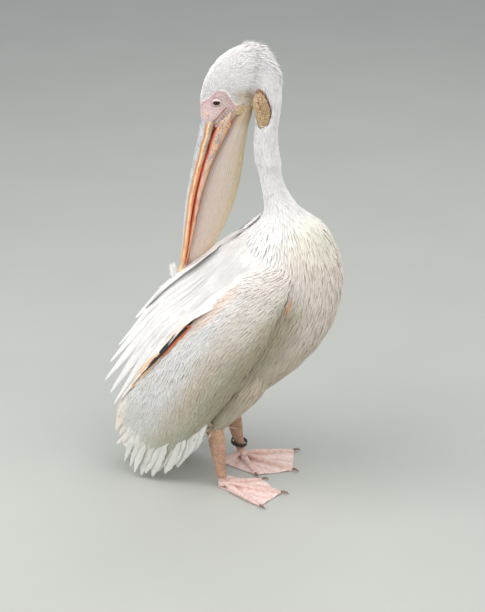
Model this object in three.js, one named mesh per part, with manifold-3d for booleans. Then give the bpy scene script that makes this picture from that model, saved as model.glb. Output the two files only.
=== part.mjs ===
// A great white pelican at life size, standing on both feet with its head turned right back to
// preen. Millimetres; +X is the way the breast faces, +Y the bird's left, +Z up, floor at z = 0.
// Every named body part is one closed solid, and neighbours keep a thin gap between them.
import * as THREE from "three";
import { mergeVertices } from "three/addons/utils/BufferGeometryUtils.js";
import Module from "manifold-3d";

const wasm = await Module();
wasm.setup();

const GAP = 0.4; // clearance between neighbouring parts
const RIGHT = -1; // sign of Y on the bird's right
const LEFT = 1;
const SIDES = [["right", RIGHT], ["left", LEFT]];

const FINISH = {
  plumage: { color: 0xf6efe9, roughness: 0.85 },
  flight: { color: 0x2b2a2c, roughness: 0.6 },
  horn: { color: 0xb9b3ad, roughness: 0.45 },
  nail: { color: 0xd98a4a, roughness: 0.4 },
  pouch: { color: 0xe6cdb4, roughness: 0.55 },
  leg: { color: 0xd9956f, roughness: 0.6 },
  claw: { color: 0x8a5a44, roughness: 0.4 },
  eye: { color: 0x1d0a06, roughness: 0.08 },
  ring: { color: 0x121418, roughness: 0.35 },
};

// ---------- drawing closed forms ----------

const point = (x = 0, y = 0, z = 0) => new THREE.Vector3(x, y, z);
const radians = THREE.MathUtils.degToRad;
const smooth = (points) => new THREE.CatmullRomCurve3(points, false, "catmullrom", 0.5);

// A closed form over a sphere's grid: ringAt(t) gives each ring's centre and its two half axes.
function sweep(ringAt, { around, along, startCap = 0.1, endCap = 0.1, keel = 0 }) {
  const geometry = new THREE.SphereGeometry(1, around, along);
  const position = geometry.getAttribute("position");
  for (let row = 0, i = 0; row <= along; row++) {
    const t = row / along;
    const start = Math.min(t / startCap, 1);
    const end = Math.min((1 - t) / endCap, 1);
    const rounding = Math.sqrt(1 - (1 - start) ** 2) * Math.sqrt(1 - (1 - end) ** 2);
    const { centre, deep, wide } = ringAt(t);
    for (let column = 0; column <= around; column++, i++) {
      const angle = (2 * Math.PI * column) / around;
      const up = Math.cos(angle);
      const side = Math.sin(angle) * (1 - keel * up);
      const place = centre
        .clone()
        .addScaledVector(deep, up * rounding)
        .addScaledVector(wide, side * rounding);
      position.setXYZ(i, place.x, place.y, place.z);
    }
  }
  return closed(geometry);
}

// Keeps only positions, merges the seam and the poles, and turns the faces outwards.
function closed(geometry) {
  geometry.deleteAttribute("normal");
  geometry.deleteAttribute("uv");
  const merged = mergeVertices(geometry, 1e-3);
  const { array } = merged.index;
  const places = merged.getAttribute("position");
  const [a, b, c] = [point(), point(), point()];
  let volume = 0;
  for (let i = 0; i < array.length; i += 3) {
    a.fromBufferAttribute(places, array[i]);
    b.fromBufferAttribute(places, array[i + 1]);
    c.fromBufferAttribute(places, array[i + 2]);
    volume += a.dot(b.cross(c));
  }
  if (volume < 0)
    for (let i = 0; i < array.length; i += 3)
      [array[i], array[i + 1]] = [array[i + 1], array[i]];
  return merged;
}

// A body form between two lines in side view. Each station is
// [upper x, upper z, lower x, lower z, half width, middle y].
function rings(stations) {
  const upper = smooth(stations.map(([x, z, , , , y = 0]) => point(x, y, z)));
  const lower = smooth(stations.map(([, , x, z, , y = 0]) => point(x, y, z)));
  const width = smooth(stations.map((s, i) => point(s[4], i, 0)));
  return (t) => {
    const top = upper.getPoint(t);
    const bottom = lower.getPoint(t);
    const centre = top.clone().lerp(bottom, 0.5);
    return { centre, deep: top.sub(centre), wide: point(0, width.getPoint(t).x, 0) };
  };
}
const body = (stations, options) => sweep(rings(stations), options);

// A point over the skin of a body form: t along it, angle round from its upper line.
function over(ringAt, t, angle, lift) {
  const { centre, deep, wide } = ringAt(t);
  const [up, side] = [Math.cos(radians(angle)), Math.sin(radians(angle))];
  const outward = deep
    .clone()
    .multiplyScalar(up / deep.lengthSq())
    .addScaledVector(wide, side / wide.lengthSq())
    .normalize();
  const place = centre.addScaledVector(deep, up).addScaledVector(wide, side);
  return { place: place.addScaledVector(outward, lift), outward };
}

// A round limb along a smooth path. Each station is [x, y, z, half depth, half width].
function limb(stations, options) {
  const path = smooth(stations.map(([x, y, z]) => point(x, y, z)));
  const sizes = smooth(stations.map((s, i) => point(s[3], s[4], i)));
  return sweep((t) => {
    const along = path.getTangent(t);
    const size = sizes.getPoint(t);
    const wide = point(0, 1, 0).addScaledVector(along, -along.y).normalize();
    const deep = along.clone().cross(wide);
    return {
      centre: path.getPoint(t),
      deep: deep.multiplyScalar(size.x),
      wide: wide.multiplyScalar(size.y),
    };
  }, options);
}

// One long flat feather along a path of points, its broad side turned to facing(t).
function feather({ path, width, facing, thickness = 3, blunt = 0.3, along = 6 }) {
  const line = smooth(path);
  return sweep(
    (t) => {
      const forward = line.getTangent(t);
      const across = facing(t).cross(forward).normalize();
      const out = forward.clone().cross(across).normalize();
      const breadth = width * (0.45 + 0.55 * Math.sin(Math.PI * Math.min(t * 0.75 + 0.12, 1)));
      return {
        centre: line.getPoint(t),
        deep: out.multiplyScalar(thickness / 2),
        wide: across.multiplyScalar(breadth / 2),
      };
    },
    { around: 4, along, startCap: 0.1, endCap: blunt },
  );
}

// ---------- solids and the gaps between them ----------

function solidOf(geometry) {
  return new wasm.Manifold(
    new wasm.Mesh({
      numProp: 3,
      vertProperties: new Float32Array(geometry.getAttribute("position").array),
      triVerts: new Uint32Array(geometry.index.array),
    }),
  );
}

function geometryOf(solid) {
  const mesh = solid.getMesh();
  return new THREE.BufferGeometry()
    .setAttribute("position", new THREE.BufferAttribute(mesh.vertProperties, 3))
    .setIndex(new THREE.BufferAttribute(mesh.triVerts, 1));
}

// The same form grown outwards until every face has moved by the gap; it cuts the neighbours back.
function grown(geometry) {
  const larger = geometry.clone();
  const position = larger.getAttribute("position");
  const { array } = larger.index;
  const outward = Array.from({ length: position.count }, () => point());
  const faces = [];
  for (let i = 0; i < array.length; i += 3) {
    const ids = [array[i], array[i + 1], array[i + 2]];
    const places = ids.map((id) => point().fromBufferAttribute(position, id));
    const normal = new THREE.Triangle(...places).getNormal(point());
    ids.forEach((id, k) => {
      const one = places[(k + 1) % 3].clone().sub(places[k]);
      const other = places[(k + 2) % 3].clone().sub(places[k]);
      outward[id].addScaledVector(normal, one.angleTo(other));
    });
    faces.push([ids, normal]);
  }
  outward.forEach((direction) => direction.normalize());
  const reach = outward.map(() => 1);
  for (const [ids, normal] of faces)
    for (const id of ids) {
      const lean = Math.max(normal.dot(outward[id]), 0.16);
      reach[id] = Math.max(reach[id], 1 / lean);
    }
  outward.forEach((direction, id) => {
    const place = point().fromBufferAttribute(position, id);
    place.addScaledVector(direction, GAP * reach[id]);
    position.setXYZ(id, place.x, place.y, place.z);
  });
  return solidOf(larger);
}

const union = (solids) => solids.reduce((all, next) => all.add(next));
const largest = (solid) =>
  solid.decompose().reduce((best, next) => (next.volume() > best.volume() ? next : best));

const pelican = new THREE.Group();
const cutters = new Map();
const FLOOR = [[0, 0, 1], 0];

// Adds a named part made of one or more forms, cut back by the parts named in `behind`.
function add(name, finish, forms, behind = [], trims = []) {
  const list = Array.isArray(forms) ? forms : [forms];
  let solid = union(list.map(solidOf));
  for (const other of behind) solid = solid.subtract(cutters.get(other));
  for (const [normal, offset] of trims) solid = solid.trimByPlane(normal, offset);
  cutters.set(name, union(list.map(grown)));
  const mesh = new THREE.Mesh(
    geometryOf(largest(solid)),
    new THREE.MeshStandardMaterial(FINISH[finish]),
  );
  mesh.name = name;
  pelican.add(mesh);
}

// ---------- head and bill ----------

// The head is drawn pointing straight back with its bill down, then turned and leaned as carried.
const HEAD_PIVOT = point(-50, 0, 930);
const HEAD_YAW = radians(8);
const HEAD_TILT = radians(7);
const HEAD_SWING = radians(18.7);
const HEAD_SHIFT = -6;

function carried(geometry) {
  geometry.translate(-HEAD_PIVOT.x, -HEAD_PIVOT.y, -HEAD_PIVOT.z);
  geometry.rotateZ(HEAD_YAW).rotateX(HEAD_TILT);
  geometry.translate(HEAD_PIVOT.x, HEAD_PIVOT.y + HEAD_SHIFT, HEAD_PIVOT.z);
  return geometry.rotateZ(HEAD_SWING);
}

// The eyes: balls sunk in the sides of the head.
const EYE = { x: -79, y: 27.5, z: 946, radius: 8.5 };
for (const [name, side] of [["eye_left", RIGHT], ["eye_right", LEFT]]) {
  const ball = new THREE.SphereGeometry(EYE.radius, 12, 7);
  ball.translate(EYE.x, side * EYE.y, EYE.z);
  add(name, "eye", carried(closed(ball)));
}

// The upper bill, broad and flat with a raised middle, and the hooked nail at its tip.
const NAIL = [
  [-161, 536, -153, 538, 8],
  [-166, 521, -155, 523, 9],
  [-167, 506, -152, 511, 8],
  [-160, 497, -148, 504, 5],
];
const UPPER_BILL = [
  [-104, 928, -54, 932, 22],
  [-111, 900, -76, 902, 26],
  [-118, 856, -89, 856, 25.5],
  [-130, 791, -107, 791, 23],
  [-143, 720, -124, 720, 20.5],
  [-150, 665, -134, 665, 20],
  [-155, 603, -142, 603, 20.5],
  [-160, 550, -150, 550, 19.5],
  [-163, 524, -156, 524, 12],
];
add("bill_nail", "nail", carried(body(NAIL, {
  around: 8, along: 6, startCap: 0.4, endCap: 0.5,
})));
add("bill_upper", "horn", carried(body(UPPER_BILL, {
  around: 12, along: 14, startCap: 0.07, endCap: 0.1, keel: 0.35,
})), ["bill_nail"]);

// The lower bill: two thin limbs that part at the jaw and meet at the tip.
// [x, z, half spread, half depth]
const LOWER_BILL = [
  [-45, 923, 24, 9],
  [-58, 897, 25, 13.5],
  [-70, 874, 25, 14.5],
  [-81, 847, 24, 12],
  [-96, 805, 21.5, 9.5],
  [-111, 754, 19.5, 7.5],
  [-124, 695, 17, 6],
  [-134, 640, 15, 5],
  [-141, 590, 12, 4.5],
  [-146, 558, 6, 4],
  [-148, 542, 1, 4],
  [-150, 524, 0, 3.6],
];
const lowerLimb = (side) =>
  limb(
    LOWER_BILL.map(([x, z, spread, depth]) => [x, side * spread, z, depth, 4.2]),
    { around: 6, along: 10, startCap: 0.08, endCap: 0.08 },
  );
add("bill_lower", "horn", [carried(lowerLimb(RIGHT)), carried(lowerLimb(LEFT))], [
  "bill_upper", "bill_nail",
]);

// The head with its plumage: high behind the eye, narrowing to the bill.
const HEAD = [
  [44, 1040, 20, 962, 30],
  [22, 1062, 4, 958, 32],
  [-4, 1069, -8, 948, 34],
  [-26, 1065, -16, 940, 35],
  [-54, 1052, -25, 933, 35],
  [-79, 1029, -33, 927, 34],
  [-98, 999, -38, 921, 32],
  [-109, 965, -44, 914, 30],
  [-113, 934, -52, 904, 28],
  [-113, 908, -62, 891, 25.5],
  [-113, 888, -74, 876, 22],
];
// The flat cut between head and neck, behind the jaw.
const NAPE_CUT = { x: 4, z: 1000, lean: radians(9) };
const napeNormal = point(-Math.cos(NAPE_CUT.lean), 0, Math.sin(NAPE_CUT.lean))
  .applyAxisAngle(point(0, 0, 1), HEAD_YAW)
  .applyAxisAngle(point(1, 0, 0), HEAD_TILT)
  .applyAxisAngle(point(0, 0, 1), HEAD_SWING);
const napePlace = point(NAPE_CUT.x - HEAD_PIVOT.x, 0, NAPE_CUT.z - HEAD_PIVOT.z)
  .applyAxisAngle(point(0, 0, 1), HEAD_YAW)
  .applyAxisAngle(point(1, 0, 0), HEAD_TILT)
  .add(point(HEAD_PIVOT.x, HEAD_SHIFT, HEAD_PIVOT.z))
  .applyAxisAngle(point(0, 0, 1), HEAD_SWING);
const napeOffset = napeNormal.dot(napePlace);
const inFront = [napeNormal.toArray(), napeOffset + GAP / 2];
const behindNape = [napeNormal.clone().negate().toArray(), -napeOffset + GAP / 2];
add("head", "plumage", carried(body(HEAD, {
  around: 18, along: 11, startCap: 0.08, endCap: 0.1,
})), ["eye_left", "eye_right", "bill_upper", "bill_lower"], [inFront]);

// The ragged crest at the back of the crown.
const CREST = [
  [-20, 1064, -12, 1056, 12],
  [2, 1077, 6, 1062, 11],
  [19, 1072, 19, 1056, 8],
  [38, 1056, 32, 1046, 4],
];
add("crest", "plumage", carried(body(CREST, {
  around: 8, along: 6, startCap: 0.2, endCap: 0.3,
})), ["head"]);

// The bare pouch hanging from the lower bill and running back on to the throat.
const POUCH = [
  [-14, 944, 10, 956, 13],
  [-30, 920, 7, 926, 20],
  [-46, 892, 2, 896, 23],
  [-62, 862, -6, 864, 23.5],
  [-87, 808, -14, 811, 22.5],
  [-105, 757, -19, 757, 21],
  [-120, 702, -32, 702, 19],
  [-131, 648, -50, 646, 16.5],
  [-142, 598, -77, 591, 13],
  [-150, 556, -106, 546, 9],
  [-156, 528, -136, 520, 4],
];
add("pouch", "pouch", carried(body(POUCH, {
  around: 12, along: 11, startCap: 0.1, endCap: 0.08,
})), ["bill_upper", "bill_lower", "bill_nail", "head"]);

// The loose fold of pouch skin where the throat doubles back against the neck.
const FOLD = [
  [9, 976, 20, 978, 7, -31],
  [0, 950, 34, 948, 12, -34],
  [4, 920, 41, 922, 13, -34],
  [10, 894, 39, 896, 12, -33],
  [20, 867, 30, 867, 6, -31],
];
add("throat_fold", "pouch", carried(body(FOLD, {
  around: 12, along: 8, startCap: 0.25, endCap: 0.25,
})), ["head", "pouch"]);

// ---------- neck and trunk ----------

// The neck rises from the breast and hooks over at the nape, in three lengths.
const NECK = [
  [138, 672, 40, 636, 42],
  [113, 706, 33, 676, 41],
  [93, 729, 26, 712, 36.5],
  [80, 762, 20, 742, 31.5],
  [69, 812, 11, 782, 28.5],
  [63, 858, 6, 832, 27.5, 1],
  [66, 893, 8, 870, 28.5, 3],
  [70, 930, 9, 903, 30, 6],
  [68, 974, 4, 926, 32, 9],
  [51, 1026, -4, 944, 33, 8],
  [22, 1063, -12, 952, 33, 3],
  [-10, 1067, -20, 956, 33, -5],
  [-40, 1062, -28, 958, 32, -16],
];
const NECK_CUTS = [764, 872];
const neck = body(NECK, { around: 14, along: 18, startCap: 0.05, endCap: 0.05 });
const above = (z) => [[0, 0, 1], z + GAP / 2];
const below = (z) => [[0, 0, -1], -z + GAP / 2];
const headParts = ["crest", "pouch", "throat_fold"];
add("neck_upper", "plumage", neck, headParts, [above(NECK_CUTS[1]), behindNape]);
add("neck_middle", "plumage", neck, headParts, [below(NECK_CUTS[1]), above(NECK_CUTS[0])]);
add("neck_lower", "plumage", neck, [], [below(NECK_CUTS[0])]);

// The trunk: full rounded breast, held upright and tapering down to the root of the tail.
const TRUNK = [
  [36, 686, 106, 708, 38],
  [4, 653, 160, 674, 74],
  [-34, 614, 201, 610, 106],
  [-76, 572, 221, 544, 122],
  [-120, 526, 215, 474, 128],
  [-160, 472, 188, 398, 127],
  [-192, 410, 134, 322, 120],
  [-218, 354, 68, 258, 107],
  [-236, 298, 3, 208, 90],
  [-246, 244, -60, 170, 70],
  [-250, 200, -117, 142, 49],
  [-244, 168, -165, 122, 30],
];
const trunkRings = rings(TRUNK);
add("trunk", "plumage", sweep(trunkRings, { around: 22, along: 14, endCap: 0.08 }), [
  "neck_lower", "bill_nail", "bill_upper", "bill_lower", "pouch",
]);

// ---------- legs and feet ----------

// Toes fan out from one joint: [length, turn outwards in degrees]. All four are webbed together.
const TOES = { hind: [58, -104], inner: [104, -34], middle: [148, 0], outer: [138, 37] };
const TOE_HEIGHT = 7;
const WEB_THICKNESS = 3;
const CLAW_LENGTH = 13;
const SHANK = { depth: 14, width: 10 };

function leg(side, name, { ankle, shin, joint, toeIn, spread }) {
  const at = (reach, turn) => {
    const angle = radians(turn * spread - toeIn) * side;
    return [joint[0] + reach * Math.cos(angle), joint[1] + reach * Math.sin(angle)];
  };
  const claws = Object.entries(TOES).map(([toe, [length, turn]]) => {
    const [x, y] = at(length - 4, turn);
    const [endX, endY] = at(length + CLAW_LENGTH, turn);
    const claw = limb(
      [[x, y, 6, 3.6, 3], [(x + endX) / 2, (y + endY) / 2, 6.5, 3, 2.4], [endX, endY, 2.2, 1, 1]],
      { around: 5, along: 4, startCap: 0.3, endCap: 0.4 },
    );
    add(`claw_${toe}_${name}`, "claw", claw, [], [FLOOR]);
    return `claw_${toe}_${name}`;
  });
  const toes = Object.values(TOES).map(([length, turn]) =>
    limb(
      [
        [joint[0], joint[1], 14, 13, 12],
        [...at(length / 2, turn), TOE_HEIGHT, TOE_HEIGHT, 7],
        [...at(length, turn), 5.2, 5.2, 5],
      ],
      { around: 6, along: 4, startCap: 0.2, endCap: 0.2 },
    ),
  );
  const web = new THREE.Shape();
  web.moveTo(...at(12, 180 / spread));
  Object.values(TOES).forEach(([length, turn], i, all) => {
    const edge = at(length * 0.97, turn);
    if (i === 0) {
      web.lineTo(...edge);
      return;
    }
    const [before, turnBefore] = all[i - 1];
    const hollow = at((length + before) * (i === 1 ? 0.34 : 0.45), (turn + turnBefore) / 2);
    web.quadraticCurveTo(...hollow, ...edge);
  });
  web.closePath();
  const sheet = new THREE.ExtrudeGeometry(web, {
    depth: WEB_THICKNESS,
    bevelEnabled: false,
    curveSegments: 3,
  });
  const { depth, width } = SHANK;
  const shank = limb(
    [
      [ankle[0] - 3, ankle[1], ankle[2] + 12, depth + 1, width + 2],
      [ankle[0], ankle[1], ankle[2] - 10, depth + 3, width + 3],
      [...shin, depth, width],
      [joint[0] - 4, joint[1], joint[2] + 17, depth - 1, width],
      [joint[0] + 2, joint[1], joint[2] - 8, depth - 1, width + 1],
    ],
    { around: 10, along: 7, startCap: 0.1, endCap: 0.12 },
  );
  add(`shank_${name}`, "leg", shank, [], [FLOOR]);
  add(`foot_${name}`, "leg", [...toes, closed(sheet)], [...claws, `shank_${name}`], [FLOOR]);
  const thigh = limb(
    [
      [ankle[0] + 104, ankle[1] - side * 30, ankle[2] + 190, 50, 38],
      [ankle[0] + 66, ankle[1] - side * 20, ankle[2] + 122, 52, 40],
      [ankle[0] + 36, ankle[1] - side * 9, ankle[2] + 70, 41, 33],
      [ankle[0] + 13, ankle[1] - side * 2, ankle[2] + 29, 27, 23],
      [ankle[0] + 1, ankle[1], ankle[2] + 2, 17, 16],
    ],
    { around: 12, along: 9, startCap: 0.3, endCap: 0.2 },
  );
  add(`thigh_${name}`, "plumage", thigh, [`shank_${name}`, "trunk"]);
}
leg(RIGHT, "right", {
  ankle: [-60, -74, 152], shin: [-53, -73, 86], joint: [-46, -70, 26], toeIn: 5, spread: 0.94,
});
leg(LEFT, "left", {
  ankle: [-76, 88, 152], shin: [-67, 88, 80], joint: [-53, 88, 26], toeIn: 11, spread: 1.16,
});

// A loose ring round the left shank, just above the foot.
const RING = { radius: 20, wall: 2, height: 9, x: -57.4, y: 88, z: 43, tilt: 0.2 };
const ring = new THREE.LatheGeometry(
  [
    [RING.radius - RING.wall, -RING.height / 2],
    [RING.radius, -RING.height / 2],
    [RING.radius, RING.height / 2],
    [RING.radius - RING.wall, RING.height / 2],
    [RING.radius - RING.wall, -RING.height / 2],
  ].map(([r, z]) => new THREE.Vector2(r, z)),
  16,
);
ring.rotateX(Math.PI / 2).rotateY(RING.tilt).translate(RING.x, RING.y, RING.z);
add("leg_ring", "ring", closed(ring));

// ---------- tail ----------

const TAIL = { feathers: 7, length: 168, spread: 27, width: 42 };
const tailRoot = point(-226, 0, 166);
const tailFeathers = Array.from({ length: TAIL.feathers }, (_, i) => {
  const share = (2 * i) / (TAIL.feathers - 1) - 1;
  const turn = radians(TAIL.spread) * share;
  const length = TAIL.length * (1 - 0.16 * share * share);
  const ray = point(-0.66 * Math.cos(turn), Math.sin(turn), -0.75 * Math.cos(turn)).normalize();
  const drop = point(0.75, 0, -0.66).multiplyScalar(12 * share * share + (i % 2));
  const root = tailRoot.clone().add(point(0, share * 22, 0)).add(drop);
  const at = (reach) => root.clone().addScaledVector(ray, reach);
  return feather({
    path: [at(-30), at(length * 0.5).add(point(-4, 0, 3)), at(length)],
    width: TAIL.width,
    facing: () => point(-0.75, 0, 0.66),
    along: 5,
  });
});
const rump = limb(
  [[-196, 0, 196, 18, 38], [-226, 0, 164, 15, 40], [-252, 0, 134, 10, 38], [-272, 0, 112, 5, 32]],
  { around: 12, along: 6, startCap: 0.2, endCap: 0.5 },
);
add("tail", "plumage", [rump, ...tailFeathers], ["trunk"]);

// ---------- wings ----------

// The folded arm with its coverts, hanging against the flank from the wrist down.
// [front x, z, rear x, z, half thickness, y]
const WING = [
  [116, 592, 98, 598, 14, 106],
  [137, 566, 64, 589, 25, 115],
  [133, 520, 12, 558, 31, 125],
  [109, 462, -38, 510, 32, 132],
  [79, 398, -88, 462, 32, 133],
  [41, 330, -140, 408, 30, 130],
  [2, 268, -188, 350, 27, 123],
  [-36, 212, -234, 286, 23, 114],
  [-80, 160, -270, 222, 18, 105],
  [-134, 108, -290, 158, 13, 98],
  [-186, 66, -284, 100, 9, 92],
  [-226, 46, -262, 64, 5, 88],
];
// The long feathers hanging below the coverts: where each starts and ends.
const SECONDARIES = [
  { root: [-226, 104, 240], tip: [-300, 92, 108], width: 40 },
  { root: [-228, 100, 196], tip: [-292, 88, 66], width: 36 },
  { root: [-226, 98, 160], tip: [-284, 84, 36], width: 30 },
  { root: [-214, 98, 140], tip: [-266, 86, 24], width: 30 },
  { root: [-196, 98, 130], tip: [-242, 90, 16], width: 32 },
  { root: [-172, 98, 126], tip: [-214, 92, 18], width: 34 },
  { root: [-146, 100, 130], tip: [-184, 95, 34], width: 34 },
];
// Long feathers lying over the back, in order from its ridge to the wing. Each starts part way
// down the trunk and round from its ridge, in degrees, and runs out to its own tip.
const TERTIALS = [
  { start: 0.16, angle: 5, lift: 9, tip: [-205, 5, 487], width: 36 },
  { start: 0.19, angle: 11, lift: 16, tip: [-228, 14, 457], width: 42 },
  { start: 0.2, angle: 16, lift: 30, tip: [-301, 19, 334], width: 48 },
  { start: 0.22, angle: 24, lift: 30, tip: [-328, 32, 279], width: 54 },
  { start: 0.24, angle: 34, lift: 28, tip: [-344, 50, 225], width: 56 },
  { start: 0.26, angle: 45, lift: 24, tip: [-320, 66, 195], width: 50 },
  { start: 0.28, angle: 57, lift: 19, tip: [-304, 83, 177], width: 48 },
  { start: 0.3, angle: 69, lift: 15, tip: [-264, 102, 236], width: 44 },
  { start: 0.26, angle: 80, lift: 14, tip: [-206, 122, 306], width: 38 },
];
const PRIMARIES = { count: 3, width: 34 };

for (const [name, side] of SIDES) {
  const arm = body(
    WING.map(([a, b, c, d, thickness, y]) => [a, b, c, d, thickness, side * y]),
    { around: 14, along: 11, startCap: 0.12, endCap: 0.14 },
  );
  const secondaries = SECONDARIES.map(({ root: [rx, ry, rz], tip: [tx, ty, tz], width }) => {
    const root = point(rx, side * ry, rz);
    const tip = point(tx, side * ty, tz);
    const bow = root.clone().lerp(tip, 0.45).add(point(-10, side * 4, 0));
    return feather({
      path: [root, bow, tip], width, facing: () => point(-0.25, side, 0.1), thickness: 4, along: 5,
    });
  });
  add(`wing_${name}`, "plumage", [arm, ...secondaries], ["trunk", `thigh_${name}`, "tail"]);

  const root = point(-104, side * 106, 410);
  const tip = point(-290, side * 64, 168);
  const facing = point(-0.6, side * 0.6, 0.5);
  const heading = tip.clone().sub(root).normalize();
  const across = facing.clone().cross(heading).normalize().multiplyScalar(side);
  const primaries = Array.from({ length: PRIMARIES.count }, (_, i) => {
    const from = root.clone().addScaledVector(across, 7 * i);
    const to = tip.clone().addScaledVector(across, 13 * i).addScaledVector(heading, -18 * i);
    const bow = from.clone().lerp(to, 0.5).add(point(-20, side * 10, 8));
    return feather({
      path: [from, bow, to], width: PRIMARIES.width, facing: () => facing.clone(), blunt: 0.2, along: 5,
    });
  });
  add(`primaries_${name}`, "flight", primaries, ["trunk", `wing_${name}`, "tail"]);

  const tertials = TERTIALS.map(({ start, angle, lift, tip: [tx, ty, tz], width }) => {
    const [first, second, third] = [0, 0.12, 0.24].map((step, i) =>
      over(trunkRings, start + step, side * angle, [0, 0.4 * lift, lift][i]),
    );
    return feather({
      path: [first.place, second.place, third.place, point(tx, side * ty, tz)],
      width,
      facing: () => second.outward.clone(),
      thickness: 4,
    });
  });
  add(`tertials_${name}`, "plumage", tertials, [
    "trunk", `wing_${name}`, `primaries_${name}`, "bill_nail", "bill_upper", "bill_lower",
    "pouch", "tail", "neck_lower",
  ], [[[0, side, 0], GAP / 2]]);
}

// The origin is on the floor, under the middle of the whole bird.
const box = new THREE.Box3().setFromObject(pelican);
const middle = box.getCenter(point(0, 0, 0));
pelican.position.set(-Math.round(middle.x), -Math.round(middle.y), 0);

export default pelican;
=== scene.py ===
# A great white pelican at life size, standing on both feet and preening its back: its soft body,
# bare skin, horn and plumage. Sizes are metres; lines marked "drawn" are in the bird's own drawing,
# in millimetres, with X the way its breast faces and Z up.
import math
import bmesh
import bpy
import numpy as np
from mathutils import Matrix, Vector
from mathutils.bvhtree import BVHTree
from mathutils.kdtree import KDTree


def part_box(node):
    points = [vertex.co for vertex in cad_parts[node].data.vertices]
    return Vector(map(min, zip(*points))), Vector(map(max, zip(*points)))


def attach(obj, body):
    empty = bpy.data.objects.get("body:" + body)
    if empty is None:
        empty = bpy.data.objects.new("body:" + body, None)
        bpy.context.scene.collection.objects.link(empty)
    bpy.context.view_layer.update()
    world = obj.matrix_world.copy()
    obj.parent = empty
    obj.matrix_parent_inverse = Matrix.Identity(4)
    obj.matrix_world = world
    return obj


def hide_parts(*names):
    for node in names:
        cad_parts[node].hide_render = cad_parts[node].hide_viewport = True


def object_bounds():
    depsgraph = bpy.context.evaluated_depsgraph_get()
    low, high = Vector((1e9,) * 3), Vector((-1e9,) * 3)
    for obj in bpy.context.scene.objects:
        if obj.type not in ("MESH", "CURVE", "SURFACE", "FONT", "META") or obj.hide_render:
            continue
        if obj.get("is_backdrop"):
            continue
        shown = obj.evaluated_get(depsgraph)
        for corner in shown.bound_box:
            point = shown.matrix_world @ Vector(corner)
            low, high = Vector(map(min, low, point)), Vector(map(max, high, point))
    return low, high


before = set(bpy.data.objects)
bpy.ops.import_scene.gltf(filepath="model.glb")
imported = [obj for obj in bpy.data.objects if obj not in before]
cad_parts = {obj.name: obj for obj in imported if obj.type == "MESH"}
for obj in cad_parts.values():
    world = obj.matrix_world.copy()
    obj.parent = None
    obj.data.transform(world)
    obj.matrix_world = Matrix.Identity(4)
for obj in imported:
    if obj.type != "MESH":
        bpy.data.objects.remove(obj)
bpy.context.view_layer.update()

# ---------- floor, lights and camera ----------
# A pale sheet of studio floor, one large soft light high on the tail side and weaker ones around.
# The camera stands on the bird's right, a little ahead of it and above its back.
LOOK_AT = Vector((0.044, -0.008, 0.443))
CAMERA_TURN = math.radians(18.7)
CAMERA_RISE = math.radians(23)
CAMERA_REACH = 4.6
LENS = 117.65


def seen_from(turn, rise, reach):
    away = Vector((math.sin(turn) * math.cos(rise), -math.cos(turn) * math.cos(rise), math.sin(rise)))
    return LOOK_AT + away * reach


def aimed(thing, spot):
    thing.location = spot
    thing.rotation_mode = "QUATERNION"
    thing.rotation_quaternion = (LOOK_AT - spot).to_track_quat("-Z", "Y")
    bpy.context.scene.collection.objects.link(thing)
    return thing


camera_data = bpy.data.cameras.new("camera")
camera_data.lens = LENS
camera_data.sensor_width = 36
camera = aimed(
    bpy.data.objects.new("camera", camera_data), seen_from(CAMERA_TURN, CAMERA_RISE, CAMERA_REACH)
)
bpy.context.scene.camera = camera

# Each light: its turn and rise in degrees, its reach and size in metres, its power in watts.
for name, turn, rise, reach, size, power in (
    ("key_light", -50, 46, 3.2, 2.8, 80),
    ("side_light", 62, 50, 3.4, 2.6, 54),
    ("front_light", 8, 36, 3.8, 2.8, 24),
    ("back_light", 170, 48, 3.6, 2.4, 26),
):
    light = bpy.data.lights.new(name, "AREA")
    light.size = size
    light.energy = power
    light.color = (1.0, 0.985, 0.96)
    aimed(bpy.data.objects.new(name, light), seen_from(math.radians(turn), math.radians(rise), reach))

world = bpy.data.worlds.new("studio")
world.use_nodes = True
world.node_tree.nodes["Background"].inputs["Color"].default_value = (0.92, 0.95, 1.0, 1)
world.node_tree.nodes["Background"].inputs["Strength"].default_value = 0.6
bpy.context.scene.world = world
bpy.context.scene.view_settings.view_transform = "Standard"

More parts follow.
